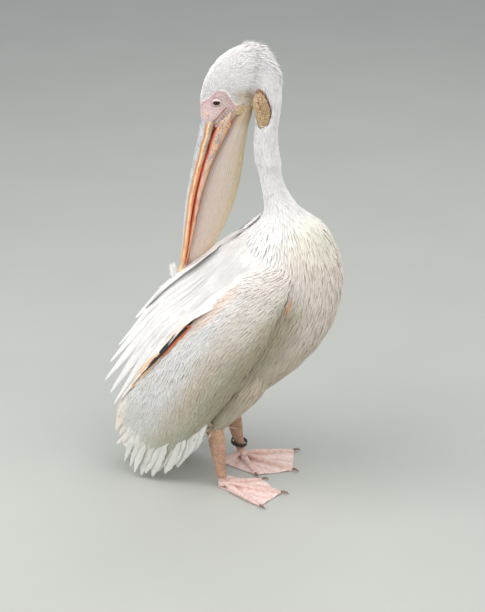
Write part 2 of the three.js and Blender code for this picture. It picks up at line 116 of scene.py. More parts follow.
FLOOR_HALF = 12
FLOOR_SHIFT = (0, 6, -0.0003)
floor_mesh = bpy.data.meshes.new("floor")
sheet = bmesh.new()
bmesh.ops.create_grid(sheet, x_segments=1, y_segments=1, size=FLOOR_HALF)
bmesh.ops.translate(sheet, verts=sheet.verts, vec=FLOOR_SHIFT)
sheet.to_mesh(floor_mesh)
sheet.free()
floor = bpy.data.objects.new("floor", floor_mesh)
bpy.context.scene.collection.objects.link(floor)
floor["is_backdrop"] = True


class Finish:
    """A node material, filled in by chains of small calls."""

    def __init__(self, name, rough, **sockets):
        self.material = bpy.data.materials.new(name)
        self.material.use_nodes = True
        self.nodes = self.material.node_tree.nodes
        self.links = self.material.node_tree.links
        self.shader = self.nodes["Principled BSDF"]
        self.shader.inputs["Roughness"].default_value = rough
        for socket, value in sockets.items():
            self.shader.inputs[socket.replace("_", " ")].default_value = value
        self.bump = None

    def node(self, kind, settings=None, **inputs):
        made = self.nodes.new("ShaderNode" + kind)
        for key, value in (settings or {}).items():
            setattr(made, key, value)
        for socket, value in inputs.items():
            self.feed(made.inputs[socket.replace("_", " ")], value)
        return made

    def feed(self, socket, value):
        if isinstance(value, bpy.types.NodeSocket):
            self.links.new(value, socket)
        else:
            socket.default_value = value

    def spots(self):
        return self.node("TexCoord").outputs["Object"]

    def stretched(self, scale, turn=(0, 0, 0)):
        return self.node("Mapping", Vector=self.spots(), Scale=scale, Rotation=turn).outputs["Vector"]

    def noise(self, scale, detail=4, vector=None, **more):
        made = self.node("TexNoise", Scale=scale, Detail=detail, **more)
        self.feed(made.inputs["Vector"], vector or self.spots())
        return made.outputs["Fac"]

    def cells(self, scale, vector=None, feature="F1", output="Distance"):
        made = self.node("TexVoronoi", {"feature": feature}, Scale=scale)
        self.feed(made.inputs["Vector"], vector or self.spots())
        return made.outputs[output]

    def ramp(self, value, stops):
        made = self.node("ValToRGB", Fac=value)
        band = made.color_ramp
        while len(band.elements) < len(stops):
            band.elements.new(0.5)
        for element, (at, colour) in zip(band.elements, stops):
            element.position = at
            element.color = (*colour, 1) if len(colour) == 3 else colour
        return made.outputs["Color"]

    def mixed(self, fac, one, other, blend="MIX"):
        made = self.node("Mix", {"data_type": "RGBA", "blend_type": blend})
        self.feed(made.inputs[0], fac)
        self.feed(made.inputs[6], (*one, 1) if isinstance(one, tuple) else one)
        self.feed(made.inputs[7], (*other, 1) if isinstance(other, tuple) else other)
        return made.outputs[2]

    def attribute(self, name, output="Color"):
        return self.node("Attribute", {"attribute_name": name}).outputs[output]

    def paint(self, colour):
        self.feed(self.shader.inputs["Base Color"], colour)
        return self

    def gloss(self, value, low, high):
        spread = self.node("MapRange", Value=value, To_Min=low, To_Max=high)
        self.feed(self.shader.inputs["Roughness"], spread.outputs["Result"])
        return self

    def raised(self, height, depth, strength=1.0):
        made = self.node("Bump", Height=height, Distance=depth, Strength=strength)
        if self.bump:
            self.feed(made.inputs["Normal"], self.bump)
        self.bump = made.outputs["Normal"]
        self.feed(self.shader.inputs["Normal"], self.bump)
        return self


studio_paint = Finish("studio_floor", 0.75)
studio_paint.paint(studio_paint.mixed(studio_paint.noise(3.0), (0.42, 0.43, 0.40), (0.46, 0.47, 0.44)))
floor_mesh.materials.append(studio_paint.material)

# ---------- the drawing and the carriage of the head ----------
# The bird is drawn from the point on the floor between its feet. Its head is drawn pointing straight
# back with the bill down, then turned and leaned on the neck.
RING_DRAWN = Vector((-57.4, 88, 43))
ring_low, ring_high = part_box("leg_ring")
DRAWING = Matrix.Translation((ring_low + ring_high) / 2) @ Matrix.Scale(0.001, 4)
DRAWING = DRAWING @ Matrix.Translation(-RING_DRAWN)
HEAD_PIVOT = Vector((-50, 0, 930))
HEAD_SHIFT = Vector((0, -6, 0))
# In degrees: the head's turn about the upright, its lean to one side, and its twist on the neck.
HEAD_TURN, HEAD_LEAN, HEAD_TWIST = 18.7, 7, 8
HEAD = (
    DRAWING
    @ Matrix.Rotation(math.radians(HEAD_TURN), 4, "Z")
    @ Matrix.Translation(HEAD_PIVOT + HEAD_SHIFT)
    @ Matrix.Rotation(math.radians(HEAD_LEAN), 4, "X")
    @ Matrix.Rotation(math.radians(HEAD_TWIST), 4, "Z")
    @ Matrix.Translation(-HEAD_PIVOT)
)


def drawn(points, place=DRAWING):
    """Points in metres, given in the drawing's or the head's own millimetres."""
    grid = np.array(place.inverted())
    return points @ grid[:3, :3].T + grid[:3, 3]


def placed(points, place=DRAWING):
    grid = np.array(place)
    return np.asarray(points, float) @ grid[:3, :3].T + grid[:3, 3]


# ---------- skin ----------
# One closed skin over head, neck, trunk, thighs and folded arms. It lies under the tips of the
# plumage by the depth of the coat, which is thin on the face and deep on the breast.
FLESH = ["head", "neck_upper", "neck_middle", "neck_lower", "trunk"]
FLESH += [f"{part}_{side}" for part in ("thigh", "wing") for side in ("right", "left")]


def fused(name, nodes, cell, rounds, fillers=()):
    """One smooth closed mesh over the solids of several parts, and over the hulls of filler points."""
    solid = bmesh.new()
    for node in nodes:
        solid.from_mesh(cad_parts[node].data)
    bmesh.ops.remove_doubles(solid, verts=solid.verts, dist=2e-5)
    for filler in fillers:
        corners = [solid.verts.new(spot) for spot in filler]
        bmesh.ops.convex_hull(solid, input=corners)
    mesh = bpy.data.meshes.new(name)
    solid.to_mesh(mesh)
    solid.free()
    piece = bpy.data.objects.new(name, mesh)
    bpy.context.scene.collection.objects.link(piece)
    shell = piece.modifiers.new("shell", "REMESH")
    shell.mode = "VOXEL"
    shell.voxel_size = cell
    ease = piece.modifiers.new("ease", "SMOOTH")
    ease.factor = 0.5
    ease.iterations = rounds
    view = bpy.context.evaluated_depsgraph_get()
    piece.data = bpy.data.meshes.new_from_object(piece.evaluated_get(view))
    piece.modifiers.clear()
    piece.data.name = name
    piece.data.materials.clear()
    piece.data.shade_smooth()
    return piece


def spots_of(mesh):
    flat = np.zeros(len(mesh.vertices) * 3)
    mesh.vertices.foreach_get("co", flat)
    return flat.reshape(-1, 3)


def normals_of(mesh):
    flat = np.zeros(len(mesh.vertices) * 3)
    mesh.vertex_normals.foreach_get("vector", flat)
    return flat.reshape(-1, 3)


def move_to(mesh, spots):
    mesh.vertices.foreach_set("co", np.asarray(spots, np.float32).ravel())
    mesh.update()


# Drawn in the head's own frame: the fleshy jaw that joins the cheek to the root of the pouch, the
# skin that webs the branch of the lower bill to the pouch, and the floor of the mouth.
JAW = [
    (-66, 24, 922), (-45, 26, 920), (-28, 25, 908), (-8, 21, 908),
    (3, 19, 925), (-2, 14, 948), (-20, 25, 950), (-50, 28, 940),
]
WEB = [
    (-56, 24, 924), (-37, 24, 928), (-36, 21, 905), (-44, 20, 884),
    (-52, 20, 880), (-62, 22, 905), (-45, 10, 900),
]
FLOOR_OF_MOUTH = [(-92, 15, 925), (-92, 15, 896), (-62, 15, 880), (-42, 13, 880), (-30, 16, 925)]
fillers = [
    placed([(x, side * y, z) for x, y, z in hull for side in (1, -1)], HEAD)
    for hull in (JAW, FLOOR_OF_MOUTH)
]
fillers += [placed([(x, side * y, z) for x, y, z in WEB], HEAD) for side in (1, -1)]
SKIN_CELL = 0.0044
SKIN_ROUNDS = 12
skin = fused("skin", FLESH, SKIN_CELL, SKIN_ROUNDS, fillers)
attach(skin, "root")
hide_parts(*FLESH)

# The neck sinks into the shoulders without a step, so the skin is drawn smooth around its root.
# The root is drawn; the reach around it is in metres.
NECK_ROOT = (34, 0, 668)
COLLAR_REACH = 0.125
COLLAR_ROUNDS = 110


def smoothed(mesh, verts, rounds):
    for _ in range(rounds):
        bmesh.ops.smooth_vert(
            mesh, verts=verts, factor=0.5, use_axis_x=True, use_axis_y=True, use_axis_z=True,
        )


flesh = bmesh.new()
flesh.from_mesh(skin.data)
neck_root = Vector(placed([NECK_ROOT])[0])
collar = [vert for vert in flesh.verts if (vert.co - neck_root).length < COLLAR_REACH]
smoothed(flesh, collar, COLLAR_ROUNDS)
flesh.to_mesh(skin.data)
flesh.free()

# The rim of the face comes down over the root of the bill.
head = drawn(spots_of(skin.data), HEAD)
low = np.clip((940 - head[:, 2]) / 24, 0, 1)
low = low * low * (3 - 2 * low) * np.clip((-62 - head[:, 0]) / 12, 0, 1) * (head[:, 2] > 870)
head[:, 2] -= 13 * low
head[:, 1] *= 1 + 0.09 * low
move_to(skin.data, placed(head, HEAD))

# ---------- how the plumage lies ----------
# Feathers grow from the bill's root over the crown, down the neck and along the trunk to the tail.
# On the folded arm they run back from the wrist and hang down lower on the wing.
HEAD_SPINE = [(-95, 884), (-84, 908), (-76, 940), (-62, 975), (-42, 998), (-18, 1008), (8, 1004), (26, 985)]
BODY_SPINE = [
    (39, 945), (40, 916), (37, 881), (34, 845), (40, 797), (50, 752), (60, 720), (73, 690), (80, 664),
    (84, 612), (73, 558), (48, 500), (14, 435), (-29, 366), (-75, 306), (-116, 253), (-153, 207),
    (-183, 171), (-215, 130),
]
spine = np.vstack([
    drawn(placed([(x, 0, z) for x, z in HEAD_SPINE], HEAD)),
    [(x, 0, z) for x, z in BODY_SPINE],
])
SHOULDER = np.array((108, 0, 592))
WING_END = np.array((-240, 0, 50))
WING_BREADTH = 150


def unit(rows):
    return rows / np.maximum(np.linalg.norm(rows, axis=-1, keepdims=True), 1e-9)


def ease(value, low, high):
    """Goes smoothly from 0 at low to 1 at high."""
    share = np.clip((value - low) / (high - low), 0, 1)
    return share * share * (3 - 2 * share)


def on_line(line, points):
    """Share of the way along a line, the direction of travel, and the distance, for each point."""
    starts, ends = line[:-1], line[1:]
    legs = ends - starts
    lengths = np.linalg.norm(legs, axis=1)
    before = np.concatenate([[0], np.cumsum(lengths)])
    best = np.full(len(points), np.inf)
    share = np.zeros(len(points))
    way = np.zeros_like(points)
    for start, leg, length, done in zip(starts, legs, lengths, before):
        t = np.clip((points - start) @ leg / length**2, 0, 1)
        gap = np.linalg.norm(points - start - t[:, None] * leg, axis=1)
        near = gap < best
        best[near] = gap[near]
        share[near] = (done + t[near] * length) / before[-1]
        way[near] = leg / length
    return share, way, best


def wing_places(points):
    """How far down the folded wing, and how far from its front edge to its rear one, 0 to 1."""
    axis = WING_END - SHOULDER
    down = (points - SHOULDER) @ axis / (axis @ axis)
    across = unit(np.array((axis[2], 0, -axis[0])))
    back = 0.5 + (points - SHOULDER) @ across / WING_BREADTH
    return down, back


def wing_way(points):
    down, back = wing_places(points)
    lean = np.interp(down, (0, 0.25, 0.5, 0.75, 1), (58, 42, 22, 8, 12))
    lean += (34 - lean) * ease(0.28 - back, 0, 0.3)
    lean += (26 - lean) * ease(back, 0.75, 1.05) * ease(down, 0.4, 0.6)
    turn = np.radians(lean)
    return np.stack([-np.sin(turn), 0 * turn, -np.cos(turn)], axis=1)


class Coat:
    """The skin's points with the lie of the plumage over each."""

    def __init__(self, piece):
        self.spots = spots_of(piece.data)
        self.ups = normals_of(piece.data)
        self.tree = KDTree(len(self.spots))
        for number, spot in enumerate(self.spots):
            self.tree.insert(spot, number)
        self.tree.balance()

    def near(self, points):
        return np.array([self.tree.find(point)[1] for point in points])


def solid_tree(nodes):
    """A search tree over the faces of several solids, with each face's own part."""
    corners, faces, owners = [], [], []
    for node in nodes:
        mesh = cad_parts[node].data
        first = len(corners)
        corners += [vertex.co for vertex in mesh.vertices]
        for face in mesh.polygons:
            faces.append([first + corner for corner in face.vertices])
            owners.append(node)
    return BVHTree.FromPolygons(corners, faces), owners


# The bare skin round the eye and along the jaw, in the head's own X and Z, its corners cut twice.
FACE = np.array([
    (-65, 981), (-46, 948), (-42, 938), (-28, 934), (-12, 940), (-2, 950), (10, 930), (6, 890),
    (-20, 874), (-60, 868), (-100, 874), (-128, 884), (-126, 908), (-115, 926), (-109, 941), (-94, 958),
], float)
for _ in range(2):
    ahead = np.roll(FACE, -1, 0)
    FACE = np.stack([0.75 * FACE + 0.25 * ahead, 0.25 * FACE + 0.75 * ahead], 1).reshape(-1, 2)


def face_depth(head):
    """How far points of the head lie inside the edge of the bare skin; negative over the feathers."""
    flat = head[:, ::2]
    inside = np.zeros(len(flat), bool)
    depth = np.full(len(flat), np.inf)
    for start, end in zip(FACE, np.roll(FACE, -1, 0)):
        leg = end - start
        t = np.clip((flat - start) @ leg / (leg @ leg), 0, 1)
        depth = np.minimum(depth, np.linalg.norm(flat - start - t[:, None] * leg, axis=1))
        spans = (start[1] > flat[:, 1]) != (end[1] > flat[:, 1])
        rise = leg[1] if leg[1] else 1e-9
        inside ^= spans & (flat[:, 0] < start[0] + (flat[:, 1] - start[1]) * leg[0] / rise)
    depth = np.where(inside, depth, -depth)
    along, up = flat.T
    ragged = 0.8 * np.sin(along / 2.1 + up / 3.3) + 0.6 * np.sin(up / 1.7 - along / 2.9)
    mine = (np.abs(head[:, 1]) < 40) & ((along < -3) | (head[:, 1] < 0) | (up < 925))
    return np.where(mine, depth + ragged, -50.0)


tree, owners = solid_tree(FLESH)
under = spots_of(skin.data)
part_of = np.array([owners[tree.find_nearest(spot)[2]] for spot in under])
on_wing = np.char.startswith(part_of, "wing")
on_thigh = np.char.startswith(part_of, "thigh")
drawn_under = drawn(under)
spine_share, spine_way, _ = on_line(spine, drawn_under)
lie = spine_way.copy()
lie[on_wing] = wing_way(drawn_under[on_wing])
lie[on_thigh] = unit(np.array([(-0.5, 0, -0.86)]))

# The depth of the coat from bill to tail: thin on the head, deepest on the trunk.
depth = np.interp(spine_share, (0, 0.05, 0.2, 0.42, 0.5, 1), (0.6, 1.5, 3, 4, 7, 7)) / 1000
depth[on_wing] = np.interp(wing_places(drawn(under[on_wing]))[0], (0.55, 0.85), (0.006, 0.0012))
depth[on_thigh] = 0.005
move_to(skin.data, under - normals_of(skin.data) * depth[:, None])

coat = Coat(skin)
pairs = np.zeros(len(skin.data.edges) * 2, int)
skin.data.edges.foreach_get("vertices", pairs)
pairs = pairs.reshape(-1, 2)
pairs = pairs[on_wing[pairs[:, 0]] == on_wing[pairs[:, 1]]]
COMBINGS = 80
for _ in range(COMBINGS):
    total = lie.copy()
    for one, other in ((0, 1), (1, 0)):
        for axis in range(3):
            total[:, axis] += np.bincount(pairs[:, one], lie[pairs[:, other], axis], len(lie))
    lie = unit(total - coat.ups * (total * coat.ups).sum(1)[:, None])
coat.lie = lie
coat.depth = depth
coat.share = spine_share
coat.wing = on_wing
coat.bare = face_depth(drawn(coat.spots, HEAD))

# ---------- small feathers ----------
# Each contour feather is a thin closed vane with a raised shaft. They are rooted all over the skin
# and lie along the coat, each over the next, shortest at the face and longest on breast and belly.
POINTED = ((0, 0.32), (0.2, 0.8), (0.45, 1.0), (0.7, 0.8), (0.88, 0.42))
ROUNDED = ((0, 0.34), (0.22, 0.86), (0.5, 1.0), (0.76, 0.96), (0.92, 0.62))
chance = np.random.default_rng(7)


def sown(spots, faces, gaps, wanted):
    """Random roots over the faces of a mesh, no two nearer than the gap there."""
    a, b, c = spots[faces[:, 0]], spots[faces[:, 1]], spots[faces[:, 2]]
    area = np.linalg.norm(np.cross(b - a, c - a), axis=1) / 2
    gap = gaps[faces].mean(axis=1)
    weight = np.where(wanted[faces].all(axis=1), area / gap**2, 0)
    tries = int(weight.sum() * 2.4)
    picked = chance.choice(len(faces), tries, p=weight / weight.sum())
    one, two = chance.random(tries), chance.random(tries)
    over = one + two > 1
    one[over], two[over] = 1 - one[over], 1 - two[over]
    roots = a[picked] + one[:, None] * (b - a)[picked] + two[:, None] * (c - a)[picked]
    near = gap[picked]
    cell = gaps.max()
    cells = np.floor(roots / cell).astype(int)
    kept, taken = [], {}
    around = [(x, y, z) for x in (-1, 0, 1) for y in (-1, 0, 1) for z in (-1, 0, 1)]
    for number, (root, key, reach) in enumerate(zip(roots.tolist(), cells.tolist(), near.tolist())):
        x, y, z = root
        limit = reach * reach
        free = True
        for i, j, k in around:
            for p, q, r in taken.get((key[0] + i, key[1] + j, key[2] + k), ()):
                if (x - p) ** 2 + (y - q) ** 2 + (z - r) ** 2 < limit:
                    free = False
                    break
            if not free:
                break
        if free:
            kept.append(number)
            taken.setdefault(tuple(key), []).append((x, y, z))
    return roots[kept]


def combed(roots, lengths, shares, swing):
    """Lines over the skin from each root, following the lie of the coat and flying free past an edge."""
    spot = roots.copy()
    heading, up_before = None, None
    line, ups, ways = [], [], []
    for share in np.diff(np.append(shares, 1.0), append=1.0):
        near = coat.near(spot)
        up = coat.ups[near]
        landed = spot - up * ((spot - coat.spots[near]) * up).sum(1)[:, None]
        way = coat.lie[near]
        way = way * np.cos(swing)[:, None] + np.cross(up, way) * np.sin(swing)[:, None]
        if heading is not None:
            way = 0.55 * heading + 0.45 * way
            free = (up * up_before).sum(1) < 0.8
            up[free], way[free], landed[free] = up_before[free], heading[free], spot[free]
        spot = landed
        way = unit(way - up * (way * up).sum(1)[:, None])
        line.append(spot)
        ups.append(up)
        ways.append(way)
        heading, up_before = way, up
        spot = spot + way * (lengths * share)[:, None]
    return np.stack(line, 1), np.stack(ups, 1), np.stack(ways, 1)


def mesh_from(name, spots, faces):
    mesh = bpy.data.meshes.new(name)
    mesh.vertices.add(len(spots))
    mesh.vertices.foreach_set("co", spots.astype(np.float32).ravel())
    mesh.loops.add(faces.size)
    mesh.loops.foreach_set("vertex_index", faces.astype(np.int32).ravel())
    mesh.polygons.add(len(faces))
    mesh.polygons.foreach_set("loop_start", np.arange(len(faces), dtype=np.int32) * 3)
    mesh.update(calc_edges=True)
    mesh.shade_smooth()
    return mesh


SLIM = ((-1, 0.0), (1, 0.0), (0, 1.0))
BROAD = (
    (-1, 0.0), (0, -0.35), (1, 0.0), (0.87, 0.25), (0.45, 0.7), (0, 1.0), (-0.45, 0.7), (-0.87, 0.25),
)


def vanes(name, line, ups, ways, widths, shape, height, thick, droop, tint, places, section=SLIM, fray=0.0):
    """One mesh of closed vanes: a ring of points at each row of the line and one at its tip."""
    count, rows, ring = line.shape[0], len(shape), len(section)
    side = np.cross(ways, ups)
    centre = line + ups * height[..., None]
    half = np.array([share for _, share in shape])[None, :] * widths[:, None] / 2
    across = np.array([at for at, _ in section], float)
    rise = np.array([up for _, up in section])
    reach = half[..., None] * across * (1 - fray * chance.random((count, rows, ring)) * across**2)
    sunk = droop[:, None, None] * across**2 * (half / widths[:, None] * 2)[..., None]
    lift = thick[:, None, None] * rise - sunk
    spots = centre[:, :rows, None] + side[:, :rows, None] * reach[..., None]
    spots = spots + ups[:, :rows, None] * lift[..., None]
    spots = np.concatenate([spots.reshape(count, rows * ring, 3), centre[:, rows:rows + 1]], 1)
    each = rows * ring + 1
    faces = [(0, k, k + 1) for k in range(1, ring - 1)]
    for low in range(0, (rows - 1) * ring, ring):
        for k in range(ring):
            a, b = low + k, low + (k + 1) % ring
            faces += [(a, b + ring, b), (a, a + ring, b + ring)]
    last = (rows - 1) * ring
    faces += [(last + (k + 1) % ring, last + k, each - 1) for k in range(ring)]
    faces = np.array(faces)
    every = (faces[None] + (np.arange(count) * each)[:, None, None]).reshape(-1, 3)
    mesh = mesh_from(name, spots.reshape(-1, 3), every)
    mesh.set_sharp_from_angle(angle=math.radians(70))
    along = np.append(np.repeat([at for at, _ in shape], ring), 1.0)
    local = np.stack([np.append(np.tile(across / 2 + 0.5, rows), 0.5), along], 1)
    patch = places[:, None] + (local[None] - 0.5) * 0.003
    for title, grid in (("OFBake", patch), ("Vane", np.repeat(local[None], count, 0))):
        layer = mesh.uv_layers.new(name=title)
        layer.data.foreach_set("uv", grid.reshape(-1, 2)[every.ravel()].astype(np.float32).ravel())
    colour = np.ones((count, each, 4), np.float32)
    colour[..., :3] = tint if tint.ndim == 3 else tint[:, None]
    colour[..., :3] *= (0.9 + 0.1 * ease(along, 0.3, 1.0))[None, :, None]
    mesh.color_attributes.new("Tint", "FLOAT_COLOR", "POINT")
    mesh.color_attributes["Tint"].data.foreach_set("color", colour.ravel())
    return mesh


def mounted(name, mesh, paint):
    """A finished piece, fixed to the bird's one body."""
    piece = bpy.data.objects.new(name, mesh)
    bpy.context.scene.collection.objects.link(piece)
    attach(piece, "root")
    mesh.materials.append(paint.material)
    return piece


# Drawn: where the long back feathers lie against the folded arm.
SHOULDER_LINE = np.array([
    (110, 605), (50, 566), (5, 528), (-40, 480), (-105, 435), (-158, 379), (-205, 316), (-246, 256),
])
SCARLET_PATCH = (133, 0, 528)


def plumage_colour_and_shade(points):
    """The colour of the plumage at points of the drawing: white, with washes of cream and peach, and painted
    shade in warm and grey-green washes over the lower breast and the folded wing.
    """
    x, y, z = points.T
    flank = ease(np.abs(y), 70, 105)
    colour = np.full((len(points), 3), (0.905, 0.89, 0.88))

    def wash(share, tone):
        nonlocal colour
        colour = colour + (np.array(tone) - colour) * np.clip(share, 0, 1)[:, None]

    def around(centre, reach):
        return 1 - ease(np.linalg.norm((points - centre) * (1, 0, 1), axis=1), reach * 0.3, reach)

    # Painted shade on the breast: the cream wash is partly the breast's own tint and partly painted shade,
    # and low down it darkens to a warm yellowish painted shade.
    front = ease(x - 0.62 * z, -330, -250) * (1 - ease(z, 640, 720))
    wash(0.85 * front * (1 - flank * 0.3), (0.84, 0.735, 0.635))
    wash(0.8 * front * (1 - ease(z, 260, 540)), (0.66, 0.545, 0.40))
    wash(0.55 * around((165, 0, 668), 80), (0.93, 0.915, 0.76))
    down, back = wing_places(points)
    wing = flank * ease(x, 210, 150)
    # Painted shade: the folded wing turns grey-green from its middle downwards, most towards its front edge.
    wash(0.9 * wing * ease(down, 0.12, 0.5) * (1 - ease(back, 0.16, 0.55)), (0.50, 0.48, 0.385))
    wash(0.6 * wing * ease(down, 0.5, 0.95) * (1 - 0.6 * ease(back, 0.5, 0.9)), (0.56, 0.57, 0.47))
    # Painted shade along the front edge of the folded wing, where it folds over the breast.
    wash(0.85 * wing * (1 - ease(back, 0.05, 0.3)) * ease(down, -0.02, 0.1), (0.45, 0.40, 0.275))
    ruffled = np.sin(x * 0.31 + z * 0.17) * np.sin(z * 0.23 - x * 0.11) > -0.1
    wash(0.5 * flank * ruffled * around((98, 0, 474), 36), (0.62, 0.56, 0.38))
    away = points - SCARLET_PATCH
    scarlet = np.linalg.norm(away * (1.9, 0, 0.75) + away[:, 2:] * (-0.7, 0, 0), axis=1)
    wash(0.85 * flank * (1 - ease(scarlet, 4, 15)), (0.90, 0.40, 0.20))
    line = np.insert(SHOULDER_LINE, 1, 0, axis=1).astype(float)
    _, _, gap = on_line(line, points * (1, 0, 1))
    wash(0.7 * flank * (1 - ease(gap, 4, 17)) * ease(x, 60, 0) * ease(x, -190, -130), (0.95, 0.70, 0.56))
    wash(ease(z, 740, 820) * 0.7, (0.90, 0.875, 0.885))
    head = drawn(placed(points), HEAD)
    cheek = np.linalg.norm((head - (-22, 0, 951)) * (1, 0, 0.9), axis=1)
    wash(0.85 * (1 - ease(cheek, 7, 30)) * ease(np.abs(head[:, 1]), 8, 16), (0.74, 0.635, 0.49))
    nearer = np.linalg.norm((head - (-5, 0, 956)) * (1, 0, 0.6), axis=1)
    wash(0.7 * (1 - ease(nearer, 3, 15)) * ease(np.abs(head[:, 1]), 8, 16), (0.60, 0.455, 0.29))
    return colour


VANE_THICK = 0.0004
VANE_DROOP = 0.0006


def feathered(name, wanted, shape, gap, length, width, lift=1.0, splay=5.0):
    """Sows one region of the skin with small feathers, sized by its place along the spine."""
    roots = sown(coat.spots, skin_faces, gap, wanted)
    near = coat.near(roots)
    count = len(roots)
    vary = chance.normal(0, 1, (4, count))
    lengths = length[near] * np.clip(1 + 0.14 * vary[0], 0.6, 1.5)
    widths = width[near] * np.clip(1 + 0.14 * vary[1], 0.6, 1.5)
    swing = np.radians(splay) * vary[2]
    shares = np.array([at for at, _ in shape])
    line, ups, ways = combed(roots, lengths, shares, swing)
    rise = np.append(shares, 1.0)
    deep = coat.depth[near] * lift * np.clip(1 + 0.16 * vary[3], 0.55, 1.6)
    height = deep[:, None] * (0.12 + 0.88 * (1 - (1 - rise[None, :]) ** 2.0))
    spots = drawn(roots)
    tint = plumage_colour_and_shade(spots) * (1 + 0.02 * chance.normal(0, 1, (count, 1)))
    angle = np.arctan2(coat.ups[near, 1], coat.ups[near] @ np.array((0.5, 0, 0.86)))
    places = np.stack([0.02 + 0.96 * coat.share[near], 0.5 + angle / (2 * math.pi) * 0.96], 1)
    mesh = vanes(
        name, line, ups, ways, widths, shape, height,
        np.minimum(VANE_THICK, widths * 0.2), VANE_DROOP * np.ones(count), tint, places,
    )
    return mounted(name, mesh, down_paint)


skin.data.calc_loop_triangles()
skin_faces = np.zeros(len(skin.data.loop_triangles) * 3, int)
skin.data.loop_triangles.foreach_get("vertices", skin_faces)
skin_faces = skin_faces.reshape(-1, 3)

WHITE, BLACK = (1.0, 1.0, 1.0), (0.0, 0.0, 0.0)
down_paint = Finish(
    "white_plumage", 0.85, Sheen_Weight=0.15, Specular_IOR_Level=0.25, Subsurface_Weight=0.3,
    Subsurface_Radius=WHITE, Subsurface_Scale=0.004,
)
barbs = down_paint.node("UVMap", {"uv_map": "Vane"}).outputs["UV"]
barbs = down_paint.node("Mapping", Vector=barbs, Scale=(11, 1.3, 1)).outputs["Vector"]
astray = down_paint.node("VectorMath", {"operation": "SCALE"}, Vector=down_paint.spots(), Scale=60.0)
barbs = down_paint.node("VectorMath", {"operation": "ADD"}, Vector=barbs)
down_paint.feed(barbs.inputs[1], astray.outputs["Vector"])
hair = down_paint.noise(1.0, 3, barbs.outputs["Vector"])
down_paint.raised(hair, 0.0006, 0.5)
dust = down_paint.ramp(down_paint.noise(22.0, 5), [(0.35, (0.93, 0.925, 0.90)), (0.6, WHITE)])
down_paint.paint(down_paint.mixed(1.0, down_paint.attribute("Tint"), dust, "MULTIPLY"))

# Along the bird, from bill to tail: how far apart the feathers root, how long and how wide they are.
along_bird = (0, 0.06, 0.16, 0.3, 0.42, 0.5, 0.7, 1)
small_gap = np.interp(coat.share, along_bird, (1.6, 1.8, 2.1, 2.2, 2.6, 3.8, 4.2, 4.6)) / 1000
small_long = np.interp(coat.share, along_bird, (6, 9, 14, 20, 28, 46, 52, 52)) / 1000
small_wide = np.interp(coat.share, along_bird, (1.6, 1.9, 2.2, 2.4, 3.0, 4.2, 4.8, 5.6)) / 1000
body = ~coat.wing
covered = body & (coat.bare < 1.0)
HEAD_ENDS, NECK_ENDS = 0.2, 0.46
on_head, on_trunk = coat.share < HEAD_ENDS, coat.share >= NECK_ENDS
front = drawn(coat.spots)[:, 0] > drawn(coat.spots)[:, 2] * 0.62 - 300
feathered("coat_head", covered & on_head, POINTED, small_gap, small_long, small_wide, splay=6)
feathered(
    "coat_neck", covered & ~on_head & ~on_trunk, POINTED, small_gap, small_long, small_wide, lift=0.6,
)
feathered("coat_breast", body & on_trunk & front, POINTED, small_gap, small_long, small_wide, lift=0.75)
feathered("coat_back", body & on_trunk & ~front, POINTED, small_gap * 1.1, small_long, small_wide * 1.2)
down, back = wing_places(drawn(coat.spots))
wing_gap = np.interp(down, (0, 0.2, 1), (2.7, 3.0, 3.3)) / 1000
wing_long = np.interp(down, (0, 0.2, 0.5, 1), (20, 30, 40, 36)) / 1000
wing_wide = np.interp(down, (0, 0.2, 1), (3.0, 3.5, 4.2)) / 1000
for side, sign in (("right", -1), ("left", 1)):
    mine = coat.wing & (coat.spots[:, 1] * sign > 0)
    outside = mine & (coat.ups[:, 1] * sign > 0.3) & (down < 0.88)
    feathered(f"coat_wing_{side}", outside, POINTED, wing_gap, wing_long, wing_wide, lift=0.7)
    within = mine & (coat.ups[:, 1] * sign < -0.3) & (down < 0.9)
    feathered(f"wing_lining_{side}", within, ROUNDED, wing_gap * 1.9, wing_long, wing_wide * 1.9, lift=0.5)

# ---------- ruffled tufts ----------
# Loose plumes stand up from the nape as a shaggy crest, and the preening bill has raised a few from
# the ridge of the back.
PLUME_THICK = 0.0003


def tufted(name, roots, aims, length, width, spread, curl, tone=None, facing=None):
    """Long loose plumes from a set of roots, each aimed its own way and curling with the coat."""
    count = len(roots)
    shares = np.append([at for at, _ in POINTED], 1.0)
    ways = unit(aims + chance.normal(0, spread, (count, 3)))
    near = coat.near(roots)
    lengths = length * chance.uniform(0.6, 1.15, count)
    bend = coat.lie[near] * curl
    steps = shares[None, :, None] * lengths[:, None, None]
    line = roots[:, None] + steps * ways[:, None] + bend[:, None] * steps * shares[None, :, None]
    travel = unit(np.gradient(line, axis=1))
    faced = coat.ups[near] if facing is None else np.tile(facing, (count, 1))
    ups = np.repeat(faced[:, None], len(shares), 1)
    ups = unit(ups - travel * (ups * travel).sum(2, keepdims=True) + 1e-6)
    colours = plumage_colour_and_shade(drawn(roots)) if tone is None else np.tile(np.array(tone, float), (count, 1))
    places = np.stack([0.02 + 0.96 * coat.share[near], chance.uniform(0.3, 0.7, count)], 1)
    widths = width * chance.uniform(0.7, 1.2, count)
    mesh = vanes(
        name, line, ups, travel, widths, POINTED, np.zeros((count, len(shares))),
        np.full(count, PLUME_THICK), np.zeros(count), colours, places,
    )
    return mounted(name, mesh, down_paint)


head_spots = drawn(coat.spots, HEAD)
x, y, z = head_spots.T
nape = np.flatnonzero((np.abs(y) < 15) & (x > -22) & (z > 985) & (coat.share < 0.3))
nape = chance.choice(nape, 520)
nape_roots = coat.spots[nape] + coat.ups[nape] * 0.0015
crest = tufted(
    "crest_plumes", nape_roots, coat.ups[nape] * 0.5 + coat.lie[nape], 0.014, 0.0016, spread=0.2, curl=0.3,
)
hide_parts("crest")

